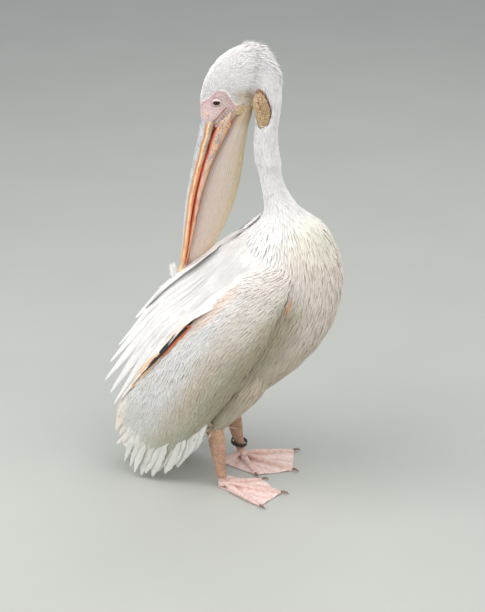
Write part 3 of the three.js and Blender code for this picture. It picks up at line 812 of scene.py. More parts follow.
# ---------- long feathers of the back ----------
# The scapulars and tertials fan out from the ridge of the back over the folded wings, the longest
# undermost, with pointed tips that stand clear of each other behind.
# Drawn: the root, two points over the back and the tip of each line of the fan, ridge to wing.
FAN = np.array([
    [(-20, 4, 634), (-78, 6, 586), (-140, 5, 528), (-200, 3, 494)],
    [(-35, 21, 622), (-100, 25, 568), (-172, 26, 508), (-236, 14, 452)],
    [(-37, 36, 618), (-108, 44, 558), (-196, 46, 472), (-301, 30, 340)],
    [(-39, 53, 612), (-112, 66, 542), (-202, 68, 446), (-330, 44, 283)],
    [(-36, 70, 606), (-108, 86, 530), (-196, 88, 425), (-344, 58, 228)],
    [(-28, 86, 600), (-98, 102, 520), (-185, 106, 410), (-322, 72, 198)],
    [(-12, 102, 592), (-80, 116, 516), (-160, 122, 412), (-304, 92, 180)],
    [(12, 114, 582), (-58, 128, 508), (-130, 134, 424), (-264, 112, 240)],
    [(50, 121, 582), (-22, 134, 518), (-105, 140, 448), (-206, 130, 312)],
], float)
TERTIAL = tuple((at, wide) for at, wide in zip(
    np.linspace(0, 0.985, 14),
    (0.55, 0.7, 0.82, 0.92, 0.98, 1.0, 1.0, 0.98, 0.93, 0.85, 0.72, 0.56, 0.36, 0.16),
))
SCAPULAR = tuple((at, wide) for at, wide in zip(
    np.linspace(0, 0.98, 10), (0.5, 0.74, 0.9, 0.98, 1.0, 0.94, 0.82, 0.64, 0.42, 0.18),
))


def threaded(points, shares):
    """Points on a smooth curve through each row of control points."""
    count = points.shape[1]
    before = 2 * points[:, :1] - points[:, 1:2]
    after = 2 * points[:, -1:] - points[:, -2:-1]
    ends = np.concatenate([before, points, after], 1)
    place = np.clip(np.asarray(shares, float), -0.2, 1.0) * (count - 1)
    start = np.clip(np.floor(place).astype(int), 0, count - 2)
    t = (place - start)[None, :, None]
    p0, p1, p2, p3 = (ends[:, start + k] for k in range(4))
    return 0.5 * (
        2 * p1 + (p2 - p0) * t + (2 * p0 - 5 * p1 + 4 * p2 - p3) * t**2 + (3 * p1 - p0 - 3 * p2 + p3) * t**3
    )


def fan_line(across, shares):
    """A line along the fan at a share of its width, ridge to wing."""
    columns = threaded(np.swapaxes(FAN, 0, 1), [across])[:, 0]
    return threaded(columns[None], shares)[0]


def fan_up(across, shares):
    """Outward directions along such a line."""
    one = fan_line(min(across + 0.04, 1.0), shares) - fan_line(max(across - 0.04, 0.0), shares)
    way = np.gradient(fan_line(across, shares), axis=0)
    return unit(np.cross(way, one))


def long_feathers(name, lines, ups, widths, shape, heights, tints, paint, thick, droop, fray=0.1):
    """Large single feathers, each drawn on its own line, broad section and frayed edges."""
    line = placed(lines)
    ways = unit(np.gradient(line, axis=1))
    ups = unit(ups - ways * (ups * ways).sum(2, keepdims=True))
    count = len(line)
    order = (np.arange(count) + 0.5) / count
    places = np.stack([order, 0.3 + 0.4 * ((np.arange(count) * 0.618) % 1)], 1)
    mesh = vanes(
        name, line, ups, ways, widths, shape, heights, np.full(count, thick),
        droop * widths, tints, places, BROAD, fray,
    )
    return mounted(name, mesh, paint)


# How far the long feathers lie off the skin, in metres, and how deep their roots go, in millimetres.
SKIN_CLEAR = 0.0075
ROOT_DEPTH = 9
skin_tree = BVHTree.FromPolygons(coat.spots.tolist(), skin_faces.tolist())


def laid(lines, ups, clear, hold):
    """Drops each row of points on to the skin, clear of it, as far as each point is held to it."""
    points, outward = placed(lines), ups.copy()
    for number in range(len(points)):
        for step, grip in enumerate(hold[number]):
            start = points[number, step] + outward[number, step] * 0.06
            hit = skin_tree.ray_cast(Vector(start), Vector(-outward[number, step]), 0.12)[0]
            if hit is None:
                continue
            over = (points[number, step] - np.array(hit)) @ outward[number, step] - clear
            points[number, step] -= outward[number, step] * (over * grip if over > 0 else over)
    return drawn(points)


def ringed(colours, edge_and_shadow, sign):
    """Spreads each row's colour round the vane; where the long quills show their outer edge it is greyed,
    partly their own darker edge and partly painted shadow in the gap beside it.
    """
    count, rows, _ = colours.shape
    shade = chance.uniform(0.965, 1.0, (count, 1, 1, 1))
    spread = np.repeat(colours[:, :, None], len(BROAD), 2) * shade
    # The greyed edge is partly the quill's own darker edge and partly painted shadow of the gap under it.
    if edge_and_shadow:
        spread[:, :, 0 if sign < 0 else 2] *= 0.7
    flat = spread[:, :rows - 1].reshape(count, -1, 3)
    return np.concatenate([flat, colours[:, -1:]], 1)


# Rows of the fan, undermost first: how many, where they start and end, their breadth and their rise.
FAN_ROWS = (
    (9, 0.16, 1.0, 46, 0.0, TERTIAL),
    (11, 0.14, 0.82, 42, 0.8, TERTIAL),
    (17, 0.10, 0.73, 38, 1.4, TERTIAL),
    (28, 0.06, 0.63, 31, 1.8, SCAPULAR),
    (38, -0.02, 0.54, 25, 2.2, SCAPULAR),
    (48, -0.10, 0.44, 20, 2.5, SCAPULAR),
    (60, -0.18, 0.34, 17, 2.8, SCAPULAR),
)
for side, sign in (("right", -1), ("left", 1)):
    for row, (count, start, end, breadth, rise, shape) in enumerate(FAN_ROWS):
        shares = np.append([at for at, _ in shape], 1.0)
        lines, outward, widths, holds = [], [], [], []
        for number in range(count):
            across = (number + (0.0 if row == 0 else 0.5)) / (count - 1 if row == 0 else count)
            innermost = (0.2, 0.14, 0.09, 0.05, 0.02, 0, 0)[row]
            across = innermost + (1 - innermost) * across
            stretch = 1.0 if row == 0 else chance.uniform(0.8, 1.06)
            steps = start + (end * stretch - start) * shares
            lines.append(fan_line(across, steps))
            holds.append(1 - ease(steps, 0.5 * across - 0.25, 0.5 + 0.35 * across))
            outward.append(fan_up(across, steps))
            widths.append(breadth * (1.05 - 0.3 * across) * chance.uniform(0.9, 1.1) / 1000)
        lines, outward = np.array(lines), np.array(outward)
        outward *= np.sign((outward * lines)[:, :1, 1:2].sum(2, keepdims=True))
        lines[..., 1] *= sign
        outward[..., 1] *= sign
        lines = laid(lines, outward, SKIN_CLEAR, holds)
        heights = (rise + ROOT_DEPTH) * ease(shares, -0.05, 0.3) - ROOT_DEPTH
        heights = (heights[None] + chance.uniform(-0.15, 0.15, (count, 1))) / 1000
        tints = ringed(plumage_colour_and_shade(lines.reshape(-1, 3)).reshape(count, -1, 3), row < 1, sign)
        long_feathers(
            f"back_row_{row + 1}_{side}", lines, outward, np.array(widths), shape, heights, tints,
            down_paint, thick=0.0006, droop=0.014,
        )
    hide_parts(f"tertials_{side}")

# Short feathers along the ridge itself close the parting between the two fans.
RIDGE_COUNT = 120
ridge_shares = np.append([at for at, _ in SCAPULAR], 1.0)
ridge_lines, ridge_ups, ridge_holds = [], [], []
for number in range(RIDGE_COUNT):
    start = -0.34 + 1.12 * number / RIDGE_COUNT
    steps = start + 0.2 * ridge_shares
    aside = chance.uniform(-1, 1)
    line = fan_line(0.0, np.maximum(steps, -0.2))
    if start < -0.2:
        line = line + (line[-1] - line[-2]) * (steps - np.maximum(steps, -0.2))[:, None] * 2
    line[:, 1] = aside * (9 + 5 * ridge_shares)
    ridge_lines.append(line)
    ridge_holds.append(1 - ease(steps, -0.25, 0.5))
    ridge_ups.append(np.repeat(unit(np.array([[-0.62, 0.35 * aside, 0.78]])), len(ridge_shares), 0))
ridge_lines = laid(np.array(ridge_lines), np.array(ridge_ups), SKIN_CLEAR, ridge_holds)
ridge_heights = (11.5 * ease(ridge_shares, -0.05, 0.3) - ROOT_DEPTH)[None]
ridge_heights = ridge_heights + chance.uniform(-0.8, 0.8, (RIDGE_COUNT, 1))
ridge_tints = ringed(plumage_colour_and_shade(ridge_lines.reshape(-1, 3)).reshape(RIDGE_COUNT, -1, 3), False, 1)
long_feathers(
    "ridge_feathers", ridge_lines, np.array(ridge_ups),
    chance.uniform(0.02, 0.026, RIDGE_COUNT), SCAPULAR, ridge_heights / 1000, ridge_tints,
    down_paint, thick=0.0006, droop=0.02,
)

# Long feathers bridge the hollow between the two fans, down over the rump to the root of the tail.
RUMP_COUNT = 110
rump_shares = np.append([at for at, _ in TERTIAL], 1.0)
rump_lines, rump_heights = [], []
for number in range(RUMP_COUNT):
    start = 0.64 - 0.52 * number / RUMP_COUNT
    steps = start + (0.36 + 0.04 * chance.uniform(-1, 1)) * rump_shares
    line = fan_line(0.1 + 0.3 * ((number * 0.618) % 1), steps)
    line[:, 1] *= 1.5 * (((number * 0.382 + 0.3) % 1) * 2 - 1)
    rump_lines.append(line)
    rump_heights.append((number / RUMP_COUNT * 3 - 5) * np.ones(len(rump_shares)))
rump_lines = np.array(rump_lines)
rump_ups = np.tile(unit(np.array((-0.72, 0, 0.69))), (RUMP_COUNT, len(rump_shares), 1))
rump_tints = ringed(plumage_colour_and_shade(rump_lines.reshape(-1, 3)).reshape(RUMP_COUNT, -1, 3), False, 1)
long_feathers(
    "rump_feathers", rump_lines, rump_ups, chance.uniform(0.03, 0.038, RUMP_COUNT), TERTIAL,
    np.array(rump_heights) / 1000, rump_tints, down_paint, thick=0.0006, droop=0.014,
)

# The tip of the bill, drawn, is pushed in among them, and has raised a few plumes.
BILL_TIP = (-180, -12, 486)
RUFFLED_COUNT, RAISED_COUNT = 170, 60
parted = np.argsort(np.linalg.norm(drawn(coat.spots) - BILL_TIP, axis=1))
ruffled = chance.choice(parted[:700], RUFFLED_COUNT)
tufted(
    "ridge_tufts", coat.spots[ruffled] + coat.ups[ruffled] * 0.011,
    coat.ups[ruffled] * 0.55 + coat.lie[ruffled], 0.03, 0.0032, spread=0.3, curl=0.3,
)
raised = placed(np.array((-173, -25, 486)) + chance.uniform(-1, 1, (RAISED_COUNT, 3)) * (5, 8, 4))
tufted(
    "raised_tuft", raised, np.tile((-0.12, -0.05, 1.0), (RAISED_COUNT, 1)), 0.05, 0.0044,
    spread=0.06, curl=0.02, tone=(0.93, 0.93, 0.92), facing=(0.25, -1.0, 0.3),
)

# The arm's own quills show below the folded wing: a rounded group behind, long thin ones hanging, and
# the black flight feathers of the hand as a sliver above it, with scarlet bases under them.
# Drawn: root, bend and tip, then the breadth.
QUILLS = (
    ((-214, 108, 284), (-266, 106, 206), (-303, 95, 120), 46),
    ((-222, 106, 246), (-266, 103, 176), (-294, 92, 108), 40),
    ((-220, 104, 206), (-256, 101, 150), (-286, 92, 90), 30),
    ((-218, 102, 190), (-258, 98, 110), (-288, 86, 34), 22),
    ((-212, 101, 176), (-246, 97, 100), (-272, 88, 24), 22),
    ((-206, 100, 166), (-236, 97, 92), (-259, 91, 14), 30),
    ((-196, 101, 162), (-224, 98, 86), (-244, 90, 8), 40),
    ((-184, 100, 156), (-208, 98, 84), (-230, 93, 17), 38),
    ((-170, 102, 152), (-194, 99, 78), (-213, 92, 12), 42),
    ((-156, 101, 150), (-180, 99, 82), (-200, 95, 27), 38),
    ((-140, 103, 152), (-163, 100, 80), (-181, 94, 26), 42),
    ((-126, 102, 156), (-149, 100, 92), (-168, 97, 44), 38),
    ((-110, 104, 164), (-132, 102, 102), (-150, 96, 48), 40),
    ((-92, 106, 176), (-115, 104, 120), (-133, 99, 72), 38),
    ((-74, 108, 190), (-96, 105, 140), (-114, 100, 92), 36),
    ((-212, 99, 186), (-250, 94, 112), (-281, 84, 46), 16),
    ((-204, 98, 180), (-240, 93, 104), (-268, 82, 18), 15),
    ((-190, 97, 170), (-218, 92, 96), (-240, 84, 12), 26),
    ((-164, 98, 160), (-190, 93, 84), (-214, 88, 16), 30),
)
HAND = (
    ((-85, 128, 448), (-118, 131, 416), (-158, 130, 370), (-207, 126, 311), 12),
    ((-96, 128, 432), (-130, 131, 398), (-166, 130, 354), (-222, 122, 288), 9),
)
SCARLET = (
    ((-92, 129, 438), (-120, 132, 408), (-152, 131, 370), (-190, 128, 324), 19),
    ((-166, 121, 352), (-196, 121, 322), (-228, 117, 284), (-258, 110, 242), 24),
)
BLUNT = tuple((at, wide) for at, wide in zip(
    np.linspace(0, 0.985, 12), (0.5, 0.7, 0.85, 0.95, 1.0, 1.0, 0.98, 0.93, 0.84, 0.7, 0.5, 0.24),
))
horn_black = Finish("black_quill", 0.5, Specular_IOR_Level=0.4)
horn_black.paint(horn_black.mixed(
    horn_black.node("SeparateColor", Color=horn_black.attribute("Tint")).outputs["Red"],
    (0.008, 0.008, 0.010), (0.05, 0.048, 0.05),
))
horn_black.raised(horn_black.noise(900.0, 2, horn_black.stretched((0.2, 1, 1), (0, 0.8, 0))), 0.0003, 0.5)
for side, sign in (("right", -1), ("left", 1)):
    # The hanging quills' grey-green tone is painted shade on white feathers.
    for name, kind, slot, paint, tone, height in (
        ("quills", QUILLS, "plumage", down_paint, (0.74, 0.74, 0.69), 0.0),
        ("hand", HAND, "flight", horn_black, (0.5, 0.5, 0.5), 9.6),
        ("scarlet", SCARLET, "plumage", down_paint, (0.85, 0.20, 0.07), 7.6),
    ):
        shape = TERTIAL
        shares = np.append([at for at, _ in shape], 1.0)
        control = np.array([row[:-1] for row in kind], float) * (1, sign, 1)
        lines = threaded(control, shares)
        outward = np.repeat(np.repeat(unit(np.array([[[-0.25, sign, 0.2]]])), len(lines), 0), len(shares), 1)
        if name != "quills":
            lines = laid(lines, outward, height / 1000, [1 - ease(shares, 0.9, 1.15)] * len(lines))
        colours = np.tile(np.array(tone), (len(lines), len(shares), 1))
        if name == "quills":
            colours[:3] = colours[:3] + (np.array((0.92, 0.78, 0.68)) - colours[:3]) * 0.6
        elif name == "scarlet":
            colours[1] = (0.93, 0.60, 0.38)
        heights = np.repeat((np.arange(len(lines))[:, None] % 3 * 1.2) / 1000, len(shares), 1)
        piece = long_feathers(
            f"{name}_{side}", lines, outward, np.array([row[-1] for row in kind]) / 1000, shape,
            heights, ringed(colours, False, sign), paint, thick=0.0008, droop=0.025, fray=0.2,
        )
    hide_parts(f"primaries_{side}")

# The tail: twelve stiff quills spread in a short fan, with a row of coverts above their bases.
tail_lines, tail_up, tail_wide = [], [], []
tail_shares = np.append([at for at, _ in BLUNT], 1.0)
for row, (count, spread, length, breadth, rise) in enumerate(((12, 27, 168, 34, 0), (11, 24, 96, 26, 5))):
    for turn in np.radians(np.linspace(-spread, spread, count)):
        way = unit(np.array((-0.66 * math.cos(turn), math.sin(turn), -0.75 * math.cos(turn))))
        reach = length * (1 - 0.25 * turn**2 / math.radians(spread) ** 2)
        up = np.array((-0.75, 0, 0.66))
        root = np.array((-226, 0, 166)) + up * (rise - 14 * turn**2) - way * 12
        tail_lines.append(root + way * (reach + 12) * tail_shares[:, None])
        tail_up.append(np.repeat(up[None], len(tail_shares), 0))
        tail_wide.append(breadth / 1000)
tail_lines = np.array(tail_lines)
tail_lift = ((np.arange(len(tail_lines)) % 2) * 1.5 / 1000)[:, None] * np.ones((1, len(tail_shares)))
colours = np.tile(np.array((0.88, 0.87, 0.85)), (*tail_lines.shape[:2], 1))
tail = long_feathers(
    "tail_quills", tail_lines, np.array(tail_up), np.array(tail_wide), BLUNT, tail_lift,
    ringed(colours, False, 1), down_paint, thick=0.0008, droop=0.03,
)
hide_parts("tail")

# ---------- bare face and eyes ----------
# Pinkish bare skin, finely pitted, runs from the bill's root round each eye. The lids hug the eyeball,
# with folds in front of the eye and behind the upper lid.
EYE = np.array((-78, 21.6, 945.5))
EYE_RADIUS = 10.2
# Half the opening of the lids: along it, and above and below the middle of the eye.
OPENING_LONG, OPENING_ABOVE, OPENING_BELOW = 7.6, 4.3, 5.2
eye_axis = unit(np.array((-0.16, 1.0, 0.10)))
eye_along = unit(np.cross(np.array((0, 0, 1.0)), eye_axis))
eye_above = np.cross(eye_axis, eye_along)


def hump(value, at, width):
    """A smooth swelling, 1 where the value is at its middle."""
    return np.exp(-(((value - at) / width) ** 2))


def mirrored(head):
    return head * np.where(head[:, 1:2] < 0, (1, -1, 1), (1, 1, 1))


def lid_places(head):
    """Places round the eye: along and above the opening, and how far out from its edge at 1."""
    away = mirrored(head) - EYE
    along, above = away @ eye_along, away @ eye_above
    tall = np.where(above > 0, OPENING_ABOVE, OPENING_BELOW)
    out = (np.abs(along / OPENING_LONG) ** 2.4 + np.abs(above / tall) ** 2.4) ** (1 / 2.4)
    return along, above, out, away @ eye_axis


def face_centres(mesh):
    return drawn(np.array([face.calc_center_median() for face in mesh.faces]), HEAD)


flesh = bmesh.new()
flesh.from_mesh(skin.data)
near_face = np.flatnonzero(face_depth(face_centres(flesh)) > -5)
flesh.faces.ensure_lookup_table()
edges = dict.fromkeys(edge for number in near_face for edge in flesh.faces[number].edges)
bmesh.ops.subdivide_edges(flesh, edges=list(edges), cuts=3, use_grid_fill=True)
_, _, out, ahead = lid_places(face_centres(flesh))
flesh.faces.ensure_lookup_table()
lids = np.flatnonzero((out < 2.3) & (ahead > 0))
edges = dict.fromkeys(edge for number in lids for edge in flesh.faces[number].edges)
bmesh.ops.subdivide_edges(flesh, edges=list(edges), cuts=1, use_grid_fill=True)
flesh.faces.ensure_lookup_table()
_, _, out, ahead = lid_places(face_centres(flesh))
opening = [flesh.faces[number] for number in np.flatnonzero((out < 0.8) & (ahead > 0))]
bmesh.ops.delete(flesh, geom=opening, context="FACES")
rims = [vert for vert in flesh.verts if vert.is_boundary]
smoothed(flesh, rims, 3)
# Behind each eyeball the skin is closed across its socket.
sockets = bmesh.ops.holes_fill(flesh, edges=[edge for edge in flesh.edges if edge.is_boundary])["faces"]
for socket in sockets:
    if not socket.edges[0].is_contiguous:
        socket.normal_flip()
flesh.to_mesh(skin.data)
flesh.free()

head = drawn(spots_of(skin.data), HEAD)
along, above, out, ahead = lid_places(head)
around_eye = (out < 3.2) & (ahead > -4)
radial = np.sqrt(np.maximum(EYE_RADIUS**2 - along**2 - above**2, 0))
rim = radial + np.interp(out, (0.7, 0.94, 1.04, 1.2, 1.4, 1.6), (-1.2, 0.0, 0.75, 1.2, 0.9, 0.7))
rim = np.maximum(rim, np.minimum(ahead, radial + 1.0) - 2.5)
rim += 0.5 * hump(out, 1.3, 0.12) * (above > 0)
hug = 1 - ease(out, 1.15, 1.8)
shift = (rim - ahead) * hug
covering = np.where(radial > 0, radial + 0.75 - ahead, -9.0) * ease(out, 0.95, 1.08)
shift = np.maximum(shift, covering)
creased = 0.25 * np.sin(out * 13) - 0.5 * hump(out, 1.85, 0.2)
shift += creased * ease(out, 1.5, 1.8) * (1 - ease(out, 2.3, 3.1))
away = np.where(head[:, 1:2] < 0, eye_axis * (1, -1, 1), eye_axis)
head += away * (shift * around_eye)[:, None]

# Folds run down in front of each eye, and the skin is loosely creased towards the bill.
FOLDS = (
    ((-102, 944), (-107, 933), (-110, 914)),
    ((-90, 943), (-90.5, 935), (-86, 925)),
    ((-74, 961), (-60, 955), (-52, 943)),
)
inside = face_depth(head)
on_side = unit(head * (0.25, 1, 0))
for fold in FOLDS:
    line = np.array([(x, 0, z) for x, z in fold], float)
    _, _, gap = on_line(line, head * (1, 0, 1))
    crease = -0.9 * hump(gap, 0, 1.1) + 0.4 * hump(gap, 2.6, 1.4)
    head += on_side * (crease * ease(inside, 0.5, 3) * ease(out, 1.6, 2.2))[:, None]
knob = np.linalg.norm((head - (-98, 0, 917)) * (1, 0, 1), axis=1)
head += on_side * (1.5 * hump(knob, 0, 2.6) * (inside > 0))[:, None]
move_to(skin.data, placed(head, HEAD))


def dressed(mesh, **fields):
    """Gives a mesh its point colours and point values."""
    for name, values in fields.items():
        if values.ndim == 2:
            flat = np.concatenate([values, np.ones((len(values), 1))], 1).astype(np.float32)
            mesh.color_attributes.new(name, "FLOAT_COLOR", "POINT").data.foreach_set("color", flat.ravel())
        else:
            made = mesh.attributes.new(name, "FLOAT", "POINT")
            made.data.foreach_set("value", values.astype(np.float32))


def washed(colour, share, tone):
    return colour + (np.array(tone) - colour) * np.clip(share, 0, 1)[:, None]


def banded(share, stops):
    places = [at for at, _ in stops]
    return np.stack([np.interp(share, places, [tone[k] for _, tone in stops]) for k in range(3)], 1)


def patch(head, at, inner, outer):
    """A round patch seen from the side, 1 within its inner radius and fading to its outer."""
    return 1 - ease(np.linalg.norm(head[:, ::2] - at, axis=1), inner, outer)


def wavy(*terms):
    """A slow smooth wander from sums of sines."""
    return sum(np.sin(term) for term in terms) / len(terms)


ROSE, SLATE = (0.70, 0.52, 0.47), (0.30, 0.33, 0.38)
TAN, WINE = (0.66, 0.40, 0.15), (0.42, 0.065, 0.02)
under = spots_of(skin.data)
tints = plumage_colour_and_shade(drawn(under))
inside = face_depth(head)
bare = ease(inside, -1.2, 0.6)
x, y, z = head.T
flush = np.tile((0.655, 0.515, 0.505), (len(head), 1))
flush = washed(flush, 0.8 * (1 - ease(inside, 2, 8)), (0.63, 0.40, 0.425))
flush = washed(flush, 0.75 * patch(head, (-64, 942), 6, 20), (0.70, 0.565, 0.51))
flush = washed(flush, 0.6 * patch(head, (-90, 922), 4, 16), (0.70, 0.56, 0.54))
flush = washed(flush, 0.75 * (1 - ease(out, 1.3, 1.9)) * (above > -1), (0.84, 0.73, 0.69))
flush = washed(flush, 0.95 * (1 - ease(out, 0.98, 1.14)), (0.10, 0.04, 0.035))
flush = washed(flush, hump(knob, 0, 2.6), (0.80, 0.58, 0.26))

# Below the corner of the mouth the skin carries on as the speckled branch of the lower bill, with a
# dark red line above it and a tan rim; behind that it is the wrinkled yellow-brown root of the pouch.
mouth = ((x + 84) * 25 - (z - 905) * 24) / 34.7
below = ease(mouth, -0.8, 0.8) * (1 - ease(z, 930, 935))
brow = np.tile(ROSE, (len(head), 1))
brow = washed(brow, ease(wavy(x / 1.3 + z / 2.3, z / 1.7 - x / 1.1), -0.1, 0.4), SLATE)
brow = washed(brow, 0.8 * ease(wavy(x / 2.1, z / 1.9 + 1, (x + z) / 1.4), 0.25, 0.6), TAN)
brow = washed(brow, 1 - ease(mouth, 1.0, 3.4), WINE)
rim_line = (x + 33) + (926 - z) * 0.43
brow = washed(brow, 0.9 * hump(rim_line, -1.5, 1.8), (0.74, 0.42, 0.19))
flush = flush + (brow - flush) * below[:, None]
root = ease(rim_line, -0.5, 2.0) * ease(x, -46, -40)
creased = wavy(x / 1.6 + z / 3.9, z / 1.8 - x / 3.4)
brown = np.array((0.60, 0.455, 0.275)) * (1 + 0.14 * creased[:, None])
brown = washed(brown, 0.55 * hump(inside, 1.5, 1.6), (0.42, 0.26, 0.12))
flush = flush + (brown - flush) * root[:, None]
sac_tone = ease(rim_line, 1.0, 4.0) * (1 - ease(z, 903, 916))
flush = washed(flush, sac_tone, (0.70, 0.58, 0.50))
lining = (1 - ease(np.abs(y), 17, 21)) * (1 - ease(z, 908, 918)) * ease(x, -97, -93) * (x < -40)
flush = washed(flush, lining, (0.46, 0.09, 0.035))
tints = tints + (flush - tints) * bare[:, None]
dressed(skin.data, Tint=tints, Bare=bare)

skin_paint = Finish("bare_and_downy_skin", 0.6, Specular_IOR_Level=0.35)
bareness = skin_paint.attribute("Bare", "Fac")
mottle = skin_paint.ramp(
    skin_paint.noise(320.0, 4), [(0.36, (0.80, 0.74, 0.76)), (0.56, WHITE), (0.72, (1.06, 1.04, 1.0))],
)
pits = skin_paint.ramp(skin_paint.cells(520.0), [(0.10, (0.45, 0.38, 0.40)), (0.24, WHITE)])
scarce = skin_paint.ramp(skin_paint.noise(150.0, 2), [(0.54, BLACK), (0.62, WHITE)])
pits = skin_paint.mixed(scarce, WHITE, pits)
dots = skin_paint.ramp(skin_paint.cells(250.0), [(0.13, (0.50, 0.42, 0.44)), (0.22, WHITE)])
pits = skin_paint.mixed(1.0, pits, dots, "MULTIPLY")
look = skin_paint.mixed(1.0, mottle, pits, "MULTIPLY")
look = skin_paint.mixed(bareness, WHITE, look)
skin_paint.paint(skin_paint.mixed(1.0, skin_paint.attribute("Tint"), look, "MULTIPLY"))
skin_paint.raised(skin_paint.cells(430.0), 0.0005, 0.5)
skin_paint.raised(skin_paint.noise(180.0, 5), 0.0008, 0.4)
skin.data.materials.append(skin_paint.material)

# The eyeball is a moist dark ball with a clear bulge over a red-brown iris and a black pupil.
eye_paint = Finish("wet_eye", 0.1, Coat_Weight=0.35, Coat_Roughness=0.02, Specular_IOR_Level=0.22)
eye_paint.paint(eye_paint.mixed(
    1.0, eye_paint.attribute("Tint"),
    eye_paint.ramp(eye_paint.noise(900.0, 3), [(0.35, (0.6, 0.6, 0.6)), (0.65, (1.3, 1.2, 1.2))]), "MULTIPLY",
))
for side, sign in (("right", -1), ("left", 1)):
    ball = bmesh.new()
    bmesh.ops.create_uvsphere(ball, u_segments=48, v_segments=32, radius=EYE_RADIUS)
    axis = Vector(eye_axis * (1, sign, 1))
    turn = Vector((0, 0, 1)).rotation_difference(axis).to_matrix().to_4x4()
    bmesh.ops.rotate(ball, verts=ball.verts, cent=(0, 0, 0), matrix=turn)
    for vert in ball.verts:
        facing = vert.co.normalized().dot(axis)
        vert.co += axis * 0.7 * max(0.0, (facing - 0.86) / 0.14) ** 1.4
    bmesh.ops.translate(ball, verts=ball.verts, vec=EYE * (1, sign, 1))
    bmesh.ops.transform(ball, matrix=HEAD, verts=ball.verts)
    mesh = bpy.data.meshes.new(f"eyeball_{side}")
    ball.to_mesh(mesh)
    ball.free()
    mesh.shade_smooth()
    facing = unit(drawn(spots_of(mesh), HEAD) - EYE * (1, sign, 1)) @ np.array(axis)
    tints = np.tile((0.012, 0.006, 0.005), (len(facing), 1))
    tints = washed(tints, ease(facing, 0.78, 0.86), (0.055, 0.012, 0.008))
    tints = washed(tints, ease(facing, 0.945, 0.965), (0.004, 0.003, 0.003))
    dressed(mesh, Tint=tints)
    eyeball = mounted(f"eyeball_{side}", mesh, eye_paint)
    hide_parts(f"eye_{side}")

# ---------- bill ----------
# Two long flat blades of horn under painted skin. Lengthwise ridges and grooves part its bands of
# blue-grey, orange, cream and red, and the upper blade ends in a hooked nail.
# Drawn in the head's own frame: the edges of the blades, tip to root, as X at each Z.
EDGE_Z = (510, 544, 603, 667, 717, 791, 856, 902, 922)
CULMEN = (-163, -161, -155, -150, -144, -130, -118, -111, -108)
TOMIUM = (-158, -154, -141.5, -131.5, -125.5, -109, -90.5, -76, -61)
RAMUS = (-152, -146, -136, -123.5, -112.5, -92, -63, -41, -31)

PALE, ORANGE, CREAM = (0.60, 0.63, 0.65), (0.72, 0.25, 0.07), (0.82, 0.64, 0.42)
SAGE, CORAL = (0.50, 0.45, 0.34), (0.78, 0.30, 0.14)
bill_paint = Finish("painted_horn", 0.42, Specular_IOR_Level=0.5, Coat_Weight=0.15, Coat_Roughness=0.3)
specks = bill_paint.ramp(bill_paint.cells(230.0), [(0.20, (0.28, 0.31, 0.38)), (0.36, WHITE)])
flecks = bill_paint.ramp(bill_paint.cells(150.0), [(0.16, (1.25, 1.0, 0.55)), (0.34, WHITE)])
speckled = bill_paint.mixed(1.0, specks, flecks, "MULTIPLY")
speckled = bill_paint.mixed(bill_paint.attribute("Speckle", "Fac"), WHITE, speckled)
streaks = bill_paint.noise(140.0, 4, bill_paint.stretched((1, 1, 0.14), (0, 0.1, 0)))
streaked = bill_paint.ramp(streaks, [(0.32, (0.82, 0.76, 0.70)), (0.5, WHITE), (0.7, (1.12, 1.06, 1.0))])
bill_paint.paint(bill_paint.mixed(
    1.0, bill_paint.mixed(1.0, bill_paint.attribute("Tint"), speckled, "MULTIPLY"), streaked, "MULTIPLY",
))
bill_paint.raised(streaks, 0.0008, 0.5)
bill_paint.raised(bill_paint.cells(300.0), 0.0004, 0.4)

HORN_CELL, NAIL_CELL = 0.0013, 0.0009
upper = fused("bill_upper_blade", ["bill_upper"], HORN_CELL, 6)
head, turned = drawn(spots_of(upper.data), HEAD), normals_of(upper.data)
x, y, z = head.T
top, edge = np.interp(z, EDGE_Z, CULMEN), np.interp(z, EDGE_Z, TOMIUM)
share = (x - top) / (edge - top) + 0.025 * wavy(z / 23, z / 11 + 1, z / 7 + 2)
profile = 0.55 * hump(share, 0.2, 0.09) - 0.8 * hump(share, 0.38, 0.05)
profile += 0.5 * hump(share, 0.55, 0.08) - 0.7 * hump(share, 0.72, 0.05)
profile += 0.5 * hump(share, 0.9, 0.06) + 0.8 * hump(y, 0, 3.5) * (share < 0.15)
profile *= ease(z, 520, 560)
move_to(upper.data, spots_of(upper.data) + turned * (profile / 1000)[:, None])
grey_end = np.interp(z, (560, 700, 880), (0.13, 0.2, 0.34))
share = np.interp(share, (0, 0.34, 1), (0, 0.34, 1)) + (0.34 - grey_end) * (1 - ease(share, 0.4, 1))
tints = banded(share, (
    (0.0, SLATE), (0.07, PALE), (0.24, PALE), (0.32, (0.42, 0.40, 0.41)), (0.37, ORANGE), (0.42, ORANGE),
    (0.47, CREAM), (0.6, CREAM), (0.66, CORAL), (0.8, CORAL), (0.86, WINE), (1.0, WINE),
))
blots = ease(wavy(z / 3.1 + x / 1.9, z / 4.3 - x / 2.3, z / 7.7), 0.12, 0.5)
tints = washed(tints, 0.55 * blots * ease(z, 620, 760) * (1 - ease(share, 0.3, 0.36)), (0.42, 0.42, 0.44))
above_red = 1 - ease(share, 0.8, 0.86)
tints = washed(tints, 0.6 * blots * ease(share, 0.48, 0.54) * above_red, (0.62, 0.26, 0.12))
tints = washed(tints, ease(z, 780, 850) * ease(share, 0.56, 0.62) * above_red, SAGE)
tints = washed(tints, 0.8 * ease(share, 0.8, 0.88) * (1 - ease(z, 880, 910)), (0.66, 0.09, 0.03))
tints = washed(tints, 0.55 * (1 - ease(z, 540, 640)) * (share < 0.84), (0.84, 0.50, 0.24))
tints = washed(tints, 0.6 * (z > 885) * (1 - ease(share, 0.0, 0.3)), SLATE)
speckle = 0.75 * ease(z, 640, 840) * (1 - ease(share, 0.32, 0.4))
speckle = speckle + 0.6 * ease(z, 760, 860) * ease(share, 0.5, 0.6) * (share < 0.84)
dressed(upper.data, Tint=tints, Speckle=speckle)

